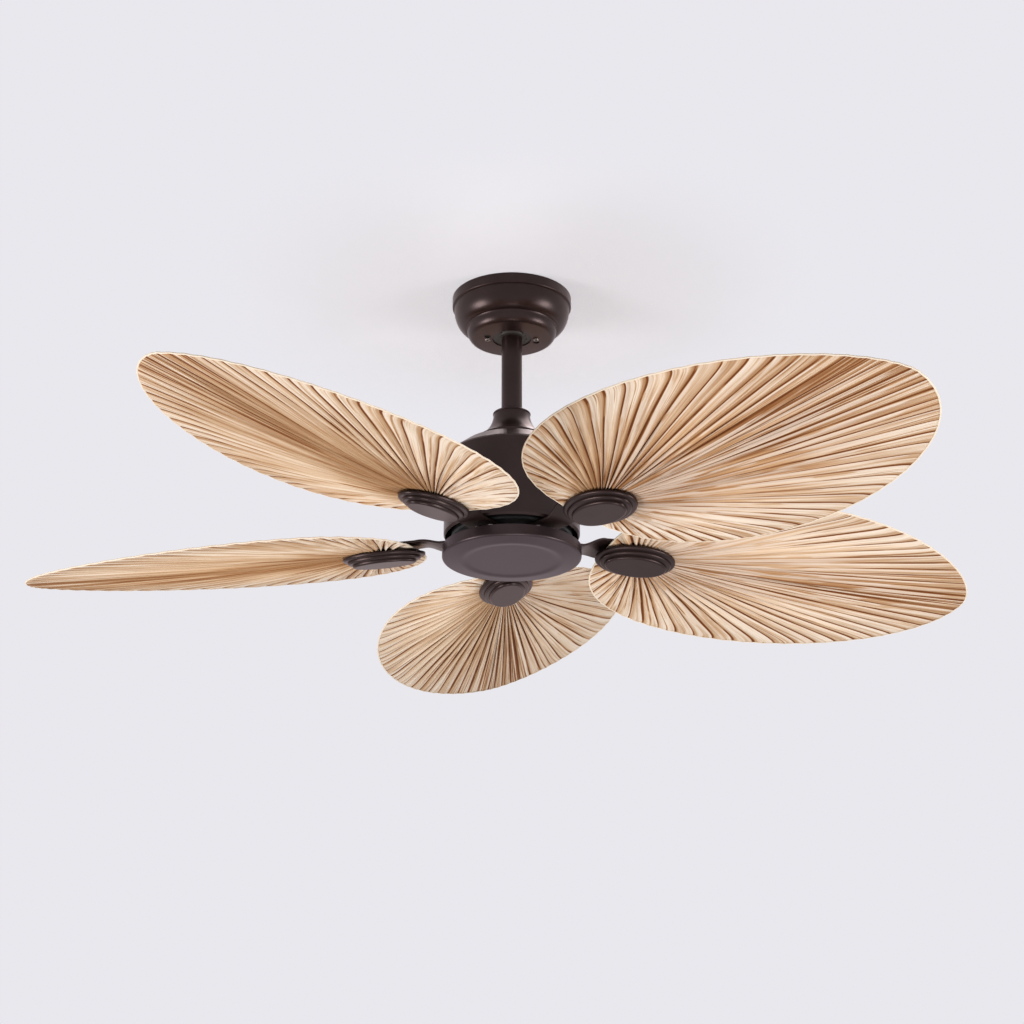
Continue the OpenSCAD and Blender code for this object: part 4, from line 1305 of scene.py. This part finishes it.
class BladeIrons(BladePieces):
    """Five stamped irons: strap, arched twisting neck and oval plate in one sheet."""

    node = "blade_iron"

    def _section(self, half: float) -> tuple[np.ndarray, np.ndarray]:
        """Draws a section of the strip, rounded at its four corners.

        Args:
            half: Half width of the strip there.

        Returns:
            Offsets across and offsets up.
        """
        radius = self.size.edge
        edge = min(radius, half * 0.9)
        points = []
        for side, face, start in ((1, 1, 0), (-1, 1, 90), (-1, -1, 180), (1, -1, 270)):
            for step in (0, 30, 60, 90):
                angle = math.radians(start + step)
                points.append((side * (half - edge) + edge * math.cos(angle),
                               face * (IRON_T / 2 - radius) + radius * math.sin(angle)))
        return tuple(np.array(points).T)

    def _rings(self) -> list[np.ndarray]:
        """Sets out the iron's sections from strap to plate.

        Returns:
            Points of each section in the frame of its blade.
        """
        s, rings = self.size, []
        for x in np.linspace(s.start, s.level, s.cuts[0], endpoint=False):
            y, z = self._section(s.half)
            rings.append(np.column_stack((np.full(len(y), x), y, STRAP_Z + z)))
        clamp, lift = clamp_place(Matrix.Identity(4)), (CLAMP_GAP + IRON_T) / 2
        end = clamp @ Vector((s.plate_start, 0, lift))
        for u in np.linspace(0, 1, s.cuts[1]):
            way = u * u * (3 - 2 * u)
            tilt = math.radians(PITCH) * way
            y, z = self._section(s.half + way * (s.neck_half - s.half))
            rings.append(np.column_stack((
                np.full(len(y), s.level + u * (end.x - s.level)),
                way * end.y + y * math.cos(tilt) + z * math.sin(tilt),
                STRAP_Z + way * (end.z - STRAP_Z) + s.rise * math.sin(math.pi * u)
                - y * math.sin(tilt) + z * math.cos(tilt),
            )))
        for turn in np.linspace(math.radians(s.oval_start), 0.0, s.cuts[2]):
            y, z = self._section(max(s.short_r * math.sin(turn), s.tip_half))
            ring = np.column_stack((np.full(len(y), s.long_r * math.cos(turn)), y, lift + z))
            rings.append(moved(ring, clamp))
        return rings

    def _piece(self, index: int, name: str) -> bpy.types.Object:
        """Makes the iron of one blade.

        Args:
            index: Blade number from 0.
            name: The iron's name.

        Returns:
            The iron.
        """
        points, faces = loft(self._rings())
        return self._crisp(name, (moved(points, BLADE_TURNS[index]), faces),
                           self.paints.metal[Slot.BRONZE])


# ------------------------------------------------------------------ screws

# The end of a thread, its pitch and its depth in metres.
THREAD_END = 0.0006
THREAD_PITCH = 0.0005
THREAD_DEPTH = 0.0002
CHAMFER = 0.0003
# Radius and height along a pan head, as shares of the head's own.
HEAD_FORM = ((1.0, 0.0), (1.0, 0.40), (0.96, 0.62), (0.84, 0.82), (0.62, 0.95), (0.36, 1.0))
# Length and width of a bar of the cross as shares of the head's radius, depth of its height.
RECESS = (1.05, 0.24, 0.6)
SCREW_AROUND = 32
# The greatest random spin of a screw.
FULL_TURN = 6.283


@dataclass(frozen=True)
class ScrewSet:
    """Like screws of one frame node.

    Attributes:
        node: The frame node they stand for.
        body: The body they ride on.
        d: Thread diameter.
        length: Length under the head.
        head_r: Radius of the head.
        head_h: Height of the head.
        places: Frames whose +Z is the way the head looks.
        slot: Material slot.
        dull: Whether the zinc has gone dull.
    """

    node: str
    body: str
    d: float
    length: float
    head_r: float
    head_h: float
    places: tuple[Matrix, ...]
    slot: Slot = Slot.ZINC
    dull: bool = False


def screw_places(frames: tuple[Matrix, ...], spots: tuple, z: float,
                 heads: Heads = Heads.DOWN) -> tuple[Matrix, ...]:
    """Sets out screws at the same spots in several frames.

    Args:
        frames: The frames.
        spots: X and Y of each screw in a frame.
        z: Height of the heads' seats in a frame.
        heads: Which way the heads look.

    Returns:
        A frame per screw, whose +Z is the way its head looks.
    """
    flip = Matrix.Identity(4) if heads is Heads.UP else HEAD_DOWN
    return tuple(frame @ Matrix.Translation((x, y, z)) @ flip
                 for frame in frames for x, y in spots)


def screw_sets() -> tuple[ScrewSet, ...]:
    """Lists every set of screws that the object has.

    Returns:
        The sets.
    """
    here = (Matrix.Identity(4),)
    clamps = tuple(clamp_place(turn) for turn in BLADE_TURNS)
    return (
        ScrewSet("blade_screws", "rotor", 0.0039, 0.0184, 0.0036, 0.0022,
                 screw_places(clamps, SCREW_SPOTS, CLAMP_GAP / 2 + IRON_T + 0.001, Heads.UP)),
        ScrewSet("iron_screws", "rotor", 0.005, 0.0075, 0.0042, 0.0022,
                 screw_places(BLADE_TURNS, ((0.062, -0.010), (0.062, 0.010)),
                              STRAP_Z - IRON_T / 2)),
        ScrewSet("rotor_shell_screws", "rotor", 0.003, 0.0057, 0.0026, 0.0018,
                 screw_places(turns_round(6, 0.0), ((0.07925, 0.0),), -0.288)),
        ScrewSet("housing_screws", "hanger", 0.005, 0.0057, 0.0042, 0.0024,
                 screw_places(turns_round(3, 30.0), ((0.028, 0.0),), -0.205, Heads.UP)),
        ScrewSet("canopy_screws", "mount", 0.004, 0.007, 0.0036, 0.0022,
                 screw_places(here, ((0.0315, 0.0), (-0.0315, 0.0)), -0.057), dull=True),
        ScrewSet("ground_screw", "mount", 0.004, 0.002, 0.0035, 0.002,
                 screw_places(here, ((-0.025, 0.009),), -0.0022)),
        ScrewSet("clip_screws", "hanger", 0.003, 0.0033, 0.0026, 0.0018,
                 screw_places(here, ((0.040, 0.0173), (0.040, -0.0173)), -0.3503)),
    )


class Screws(Assembly):
    """Pan-head screws with a cross recess, set out by one geometry node group."""

    @staticmethod
    def _set_group() -> bpy.types.NodeTree:
        """Makes the group that puts a screw on each point, spun at random.

        Returns:
            The geometry node group.
        """
        kit, given, made = node_group(
            "Geometry", "FastenerSet",
            {"Geometry": "Geometry", "Screw": "Object", "Seed": 0, "Material": "Material"},
            {"Geometry": "Geometry"},
        )
        source = kit.add("GeometryNodeObjectInfo", {"Object": given["Screw"]})
        spin = kit.add("FunctionNodeRandomValue", {"Seed": given["Seed"]}, data_type="FLOAT")
        limits = [socket for socket in spin.inputs if socket.type == "VALUE"]
        kit.put(0.0, limits[0])
        kit.put(FULL_TURN, limits[1])
        about = kit.upright(next(s for s in spin.outputs if s.type == "VALUE"))
        places = kit.add("GeometryNodeInstanceOnPoints",
                         {"Points": given["Geometry"], "Instance": source.outputs["Geometry"],
                          "Rotation": kit.named("turn", "FLOAT_VECTOR")})
        spun = kit.add("GeometryNodeRotateInstances", {"Instances": places, "Rotation": about})
        real = kit.add("GeometryNodeRealizeInstances", {0: spun})
        painted = kit.add("GeometryNodeSetMaterial",
                          {"Geometry": real, "Material": given["Material"]})
        kit.put(painted, made.inputs[0])
        return kit.tree

    @staticmethod
    def _screw(spec: ScrewSet) -> bpy.types.Object:
        """Makes one screw with its head's seat at the origin.

        Args:
            spec: Sizes of the screw.

        Returns:
            The screw.
        """
        r, h, shank, start = spec.head_r, spec.head_h, spec.d / 2, THREAD_END - spec.length
        run = spec.length - 2 * THREAD_END
        turns = max(2, int(run / THREAD_PITCH))
        profile = [(shank - CHAMFER, -spec.length), (shank, start)]
        profile += [(shank - (THREAD_DEPTH if k % 2 else 0.0), start + (k + 0.5) * run / turns)
                    for k in range(turns)]
        profile += [(shank, -CHAMFER), (shank, 0.0)]
        profile += [(r * out, h * up) for out, up in HEAD_FORM]
        screw = mesh_object("screw", loft([oval((q, q), z, SCREW_AROUND) for q, z in profile]))
        face_outward(screw)
        long, slim, deep = r * RECESS[0] / 2, r * RECESS[1] / 2, h * RECESS[2]
        bar = ((-long, -slim), (long, -slim), (long, slim), (-long, slim))
        for turn in (0, 90):
            recess = prism(bar, h - deep, h + deep)
            cut_away(screw, mesh_object("recess", recess, smooth=False), turn)
        sharpen(screw, 40)
        return screw

    def build(self) -> list[bpy.types.Object]:
        """Makes every set of screws.

        Returns:
            A mesh per set.
        """
        made, group = [], self._set_group()
        for seed, spec in enumerate(self.size):
            screw = self._screw(spec)
            points = np.array([tuple(p.to_translation()) for p in spec.places])
            dots = mesh_object("dots", (points, []))
            layer = dots.data.attributes.new("turn", "FLOAT_VECTOR", "POINT")
            turns = [tuple(p.to_euler()) for p in spec.places]
            layer.data.foreach_set("vector", np.array(turns, np.float32).ravel())
            paint = self.paints.dull if spec.dull else self.paints.metal[spec.slot]
            values = {"Screw": screw, "Seed": seed, "Material": paint}
            piece = modified(dots, group, values, title(spec.node))
            bpy.data.objects.remove(screw)
            made.append(self._fitted(piece, spec.body, spec.node, spec.slot))
        return made


# ------------------------------------------------------------------ spun shells

# A soft corner takes at most this share of the lines beside it, has this many points, and a
# guard point beyond each end, this share of its reach away.
CORNER_SHARE = 0.4
CORNER_POINTS = 7
CORNER_GUARD = 0.2


@dataclass(frozen=True)
class SpunSize:
    """A shell spun from sheet metal, in metres.

    Attributes:
        node: The frame node it stands for.
        body: The body it rides on.
        slot: Material slot.
        outer: Radius, height and corner radius of each point outside, from the top down.
        inner: Radius and height of each point inside, in the same order.
        keyholes: Whether the floor has the two keyhole slots for the canopy's screws.
        lugs: Whether three lugs inside join the shell to its plate.
    """

    node: str
    body: str
    slot: Slot
    outer: tuple[tuple[float, float, float], ...]
    inner: tuple[tuple[float, float], ...]
    keyholes: bool = False
    lugs: bool = False


def bowl(centre: tuple[float, float], rx: float, rz: float, steps: int) -> tuple:
    """Sets out a bowl's quarter ellipse, with half axes rx and rz, from its widest place down."""
    turns = np.linspace(0, math.pi / 2, steps + 1)
    return tuple((centre[0] + rx * math.cos(a), centre[1] - rz * math.sin(a), 0.0) for a in turns)


def canopy_size() -> SpunSize:
    """Works out the canopy: a straight band, a large bowl and a small one.

    Returns:
        The canopy's sizes.
    """
    sheet = 0.0012
    upper = bowl((0.0593, -0.0142), 0.0158, 0.0283, 18)
    lower = bowl((0.0501, -0.0445), 0.0081, 0.0125, 14)
    outer = ((0.0775, 0.0, 0.0), (0.0775, -0.0130, 0.0009), *upper, *lower, (0.0254, -0.057, 0.0))
    inner = [(x - sheet, z + sheet) for x, z, _ in upper[::3] + lower[::2]]
    return SpunSize("canopy", "mount", Slot.BRONZE, outer,
                    ((0.0763, 0.0), (0.0763, -0.0130), *inner, (0.0254, -0.0558)), keyholes=True)


PAN = SpunSize(
    "bottom_pan", "hanger", Slot.PAN,
    ((0.0872, -0.3465, 0.0003), (0.0872, -0.3607, 0.0028), (0.0630, -0.3634, 0.0045),
     (0.0550, -0.3622, 0.0045), (0.0, -0.3622, 0.0)),
    ((0.0860, -0.3465), (0.0860, -0.3557), (0.0834, -0.3588), (0.0622, -0.3618),
     (0.0545, -0.3610), (0.0, -0.3610)),
    lugs=True,
)
# Outline and heights of a lug, and the keyhole's place, half widths, length and heights.
LUG = ((0.0803, -0.005), (0.0865, -0.005), (0.0865, 0.005), (0.0803, 0.005))
LUG_HEIGHTS = (-0.3480, -0.3468)
KEYHOLE_R = 0.0315
KEYHOLE_HALVES = (0.00215, 0.0042)
KEYHOLE_LENGTH = 0.009
KEYHOLE_HEIGHTS = (-0.0585, -0.0545)


class SpunShells(Assembly):
    """Canopy and bottom pan, spun with soft corners."""

    around = 192

    @staticmethod
    def _rounded(points: tuple) -> list[tuple[float, float]]:
        """Rounds the corners of an outline and guards each arc with a nearby point.

        Args:
            points: Radius, height and corner radius of each point.

        Returns:
            Radius and height along the rounded outline.
        """
        path = [points[0][:2]]
        for before, here, after in zip(points, points[1:], points[2:]):
            corner = Vector(here[:2])
            if not here[2]:
                path.append(tuple(corner))
                continue
            back, ahead = Vector(before[:2]) - corner, Vector(after[:2]) - corner
            reach = min(here[2], CORNER_SHARE * back.length, CORNER_SHARE * ahead.length)
            start, end = corner + back.normalized() * reach, corner + ahead.normalized() * reach
            path.append(tuple(start + back.normalized() * reach * CORNER_GUARD))
            for u in np.linspace(0, 1, CORNER_POINTS):
                way = start * (1 - u) ** 2 + corner * (2 * u * (1 - u)) + end * u**2
                path.append(tuple(way))
            path.append(tuple(end + ahead.normalized() * reach * CORNER_GUARD))
        return [*path, points[-1][:2]]

    def _shell(self, size: SpunSize) -> bpy.types.Object:
        """Spins one closed shell.

        Args:
            size: Sizes of the shell.

        Returns:
            The shell, with lugs where it has them.
        """
        outer, inner, around = self._rounded(size.outer), list(size.inner), self.around
        poles = ()
        if not outer[-1][0]:
            # The floor is whole, so both outlines end in a pole on the axis.
            poles = (outer.pop()[1], inner.pop()[1])
        path = outer + inner[::-1]
        points = np.vstack([oval((r, r), z, around) for r, z in path])
        faces = [tuple(k % len(points) for k in face)
                 for face in ring_faces(len(path) + 1, around)]
        if poles:
            last = (len(outer) - 1) * around
            del faces[last:last + around]
            fan = [(k, (k + 1) % around) for k in range(around)]
            low, high = last, last + around
            faces += [(low + a, low + b, len(points)) for a, b in fan]
            faces += [(len(points) + 1, high + b, high + a) for a, b in fan]
            points = np.vstack((points, [[0, 0, z] for z in poles]))
        body = points, faces
        if size.lugs:
            box, sides = prism(LUG, *LUG_HEIGHTS)
            for turn in turns_round(3, 0.0):
                body = together(body, (moved(box, turn), sides))
        return mesh_object(title(size.node), body)

    @staticmethod
    def _keyhole() -> bpy.types.Object:
        """Makes the prism that cuts a keyhole slot through the canopy's floor.

        Returns:
            The prism.
        """
        slim, wide = KEYHOLE_HALVES
        meet = math.asin(slim / wide)
        outline = [(KEYHOLE_R + slim * math.cos(a), slim * math.sin(a))
                   for a in np.linspace(math.pi, 2 * math.pi, 13)]
        outline += [(KEYHOLE_R + wide * math.cos(a), KEYHOLE_LENGTH + wide * math.sin(a))
                    for a in np.linspace(meet - math.pi / 2, 1.5 * math.pi - meet, 29)]
        return mesh_object("keyhole", prism(outline, *KEYHOLE_HEIGHTS), smooth=False)

    def build(self) -> list[bpy.types.Object]:
        """Makes every shell.

        Returns:
            The shells.
        """
        made = []
        for size in self.size:
            shell = self._shell(size)
            face_outward(shell)
            for turn in (0.0, 180.0) if size.keyholes else ():
                cut_away(shell, self._keyhole(), turn)
            sharpen(shell, 35)
            made.append(self._fitted(shell, size.body, size.node, size.slot,
                                     self.paints.metal[size.slot]))
        return made


# ------------------------------------------------------------------ frame metalwork


NODE_FINISHES = {
    Slot.BRONZE: ("downrod", "coupling_cover", "motor_housing"),
    Slot.BLACK: ("ceiling_bracket", "lower_rotor_shell", "ball_set_screw", "coupler_set_screws"),
    Slot.ZINC: ("clevis_pin", "hairpin_clip", "pan_plate", "pan_plate_nuts",
                "capacitor_clip", "blade_washers", "hanger_pin"),
    Slot.STEEL: ("motor_shaft", "upper_bearing_inner", "upper_bearing_balls",
                 "upper_bearing_outer", "lower_bearing_inner", "lower_bearing_balls",
                 "lower_bearing_outer"),
    Slot.NYLON: ("hanger_ball",),
    Slot.CAST: ("motor_coupler",),
    Slot.ALUMINIUM: ("upper_rotor_shell",),
    Slot.LAMINATION: ("stator_core",),
    Slot.COPPER: ("stator_windings",),
    Slot.MAGNET: ("rotor_core",),
    Slot.CASE: ("capacitor",),
}


class FrameMetal(Assembly):
    """The frame's own nodes that stay, each with its finish."""

    def build(self) -> list[bpy.types.Object]:
        """Gives every node that stays its material.

        Returns:
            The nodes.
        """
        made = []
        for slot, names in NODE_FINISHES.items():
            for name in names:
                node = self.size[name]
                node.data.materials.clear()
                node.data.materials.append(self.paints.metal[slot])
                made.append(node)
        return made


# ------------------------------------------------------------------ studio


@dataclass(frozen=True)
class SoftBox:
    """A soft box: its name, where it stands, its width and height, and its power in watts."""

    name: str
    place: tuple[float, float, float]
    size: tuple[float, float]
    power: float


@dataclass(frozen=True)
class StudioSize:
    """Camera, lights and backdrop.

    Attributes:
        eye: Place of the camera.
        tilt: Camera's tilt from straight down, in degrees.
        lens: Focal length on a 36 mm film.
        shift: Sideways shift of the film.
        backdrop: Linear colour that the camera sees behind the object.
        surround: Linear colour of the light from all round.
        fill: Strength of that light.
        aim: Where all soft boxes point.
        boxes: The soft boxes.
        patch_r: Radius of the patch of ceiling.
        patch_fade: Radii between which it fades out.
        patch_share: How much of what lies behind it a layer of it hides.
        patches: Name and height of each layer.
    """

    eye: tuple[float, float, float] = (0.0, -2.41383, -1.2283)
    tilt: float = 111.08
    lens: float = 72.27
    shift: float = 0.2 / 1024
    backdrop: tuple[float, float, float] = (0.815, 0.805, 0.85)
    surround: tuple[float, float, float] = (1.0, 0.99, 0.98)
    fill: float = 0.42
    aim: tuple[float, float, float] = (0, 0, -0.3)
    boxes: tuple[SoftBox, ...] = (
        SoftBox("KeyLeft", (-2.6, -0.9, -1.4), (1.1, 1.3), 62.0),
        SoftBox("KeyRight", (2.6, -0.8, -1.2), (1.0, 1.3), 46.0),
        SoftBox("Below", (0.2, -1.0, -2.1), (0.8, 0.8), 18.0),
        SoftBox("Above", (0.5, 0.8, 1.7), (2.0, 2.0), 60.0),
    )
    patch_r: float = 0.5
    patch_fade: tuple[float, float] = (0.08, 0.42)
    patch_share: float = 0.24
    patches: tuple[tuple[str, float], ...] = (("CeilingPatch", 0.0004),
                                              ("CeilingPatchAbove", 0.0008))


class Studio:
    """Camera, soft boxes, backdrop and the patch of ceiling round the canopy."""

    def __init__(self, size: StudioSize) -> None:
        """Keeps the settings for camera, lights and backdrop."""
        self.size = size

    def _camera(self) -> None:
        """Makes the camera at the photograph's angle."""
        data = bpy.data.cameras.new("Camera")
        data.lens = self.size.lens
        data.sensor_width = 36.0
        data.shift_x = self.size.shift
        data.clip_end = 100.0
        camera = linked("Camera", data)
        camera.location = self.size.eye
        camera.rotation_euler = (math.radians(self.size.tilt), 0, 0)
        bpy.context.scene.camera = camera

    @staticmethod
    def _empty(owner: bpy.types.World | bpy.types.Material) -> Tree:
        """Gives a new world or material an empty node tree.

        Args:
            owner: The world or material.

        Returns:
            The tree.
        """
        owner.use_nodes = True
        owner.node_tree.nodes.clear()
        return Tree(owner.node_tree)

    def _world(self) -> None:
        """Makes a pale surround that lights the object evenly."""
        world = bpy.data.worlds.new("Surround")
        kit = self._empty(world)
        path = kit.add("ShaderNodeLightPath").outputs
        seen = kit.math("MAXIMUM", path["Is Camera Ray"], path["Is Transmission Ray"])
        seen = kit.math("MAXIMUM", seen, path["Is Glossy Ray"])
        light = kit.add("ShaderNodeBackground", {"Color": self.size.surround,
                                                 "Strength": self.size.fill})
        backdrop = kit.add("ShaderNodeBackground", {"Color": self.size.backdrop})
        chosen = kit.add("ShaderNodeMixShader", {0: seen, 1: light, 2: backdrop})
        kit.add("ShaderNodeOutputWorld", {0: chosen})
        bpy.context.scene.world = world

    def _box(self, box: SoftBox) -> None:
        """Adds a light.

        Args:
            box: The soft box.
        """
        data = bpy.data.lights.new(box.name, "AREA")
        data.shape = "RECTANGLE"
        data.size, data.size_y = box.size
        data.energy = box.power
        light = linked(box.name, data)
        light.location = box.place
        way = Vector(self.size.aim) - Vector(box.place)
        light.rotation_euler = way.to_track_quat("-Z", "Y").to_euler()

    def _ceiling(self) -> None:
        """Makes the patch of ceiling round the canopy, seen only from below.

        It has two faint layers, because one layer that hides more than a quarter of what lies
        behind it leaves a ring in a denoised picture.
        """
        s, material = self.size, bpy.data.materials.new("Ceiling")
        kit = self._empty(material)
        place = kit.add("ShaderNodeTexCoord").outputs["Object"]
        away = kit.add("ShaderNodeVectorMath", {0: place}, operation="LENGTH").outputs["Value"]
        back = Value(kit, kit.add("ShaderNodeNewGeometry").outputs["Backfacing"])
        shown = (1.0 - Value(kit, away).ramp(*s.patch_fade)) * s.patch_share * (1.0 - back)
        clear = kit.add("ShaderNodeBsdfTransparent")
        white = kit.add("ShaderNodeBsdfDiffuse", {"Color": s.backdrop})
        chosen = kit.add("ShaderNodeMixShader", {0: shown, 1: clear, 2: white})
        kit.add("ShaderNodeOutputMaterial", {0: chosen})
        for name, height in s.patches:
            rim = oval((s.patch_r, s.patch_r), height, 96)
            patch = mesh_object(name, (rim, [tuple(reversed(range(len(rim))))]))
            patch.visible_shadow = False
            patch.data.materials.append(material)

    def build(self) -> None:
        """Sets up everything that isn't part of the object."""
        self._camera()
        self._world()
        for box in self.size.boxes:
            self._box(box)
        self._ceiling()
        bpy.context.scene.view_settings.view_transform = "Standard"


# ------------------------------------------------------------------ run


def main() -> None:
    """Builds the scene piece by piece."""
    logging.basicConfig(level=logging.INFO, format="%(message)s")
    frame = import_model()
    paints = Paints(LeafFinish())
    builders = (
        FrameMetal(frame["nodes"], paints),
        SpunShells((canopy_size(), PAN), paints),
        LeafBlades(LeafSize(), paints),
        Medallions(MedallionSize(), paints),
        BladeIrons(IronSize(), paints),
        Screws(screw_sets(), paints),
    )
    for builder in builders:
        for piece in builder.build():
            LOG.info("%s: %s, %d faces", type(builder).__name__, piece.name,
                     len(piece.data.polygons))
    Studio(StudioSize()).build()


if __name__ == "__main__":
    main()
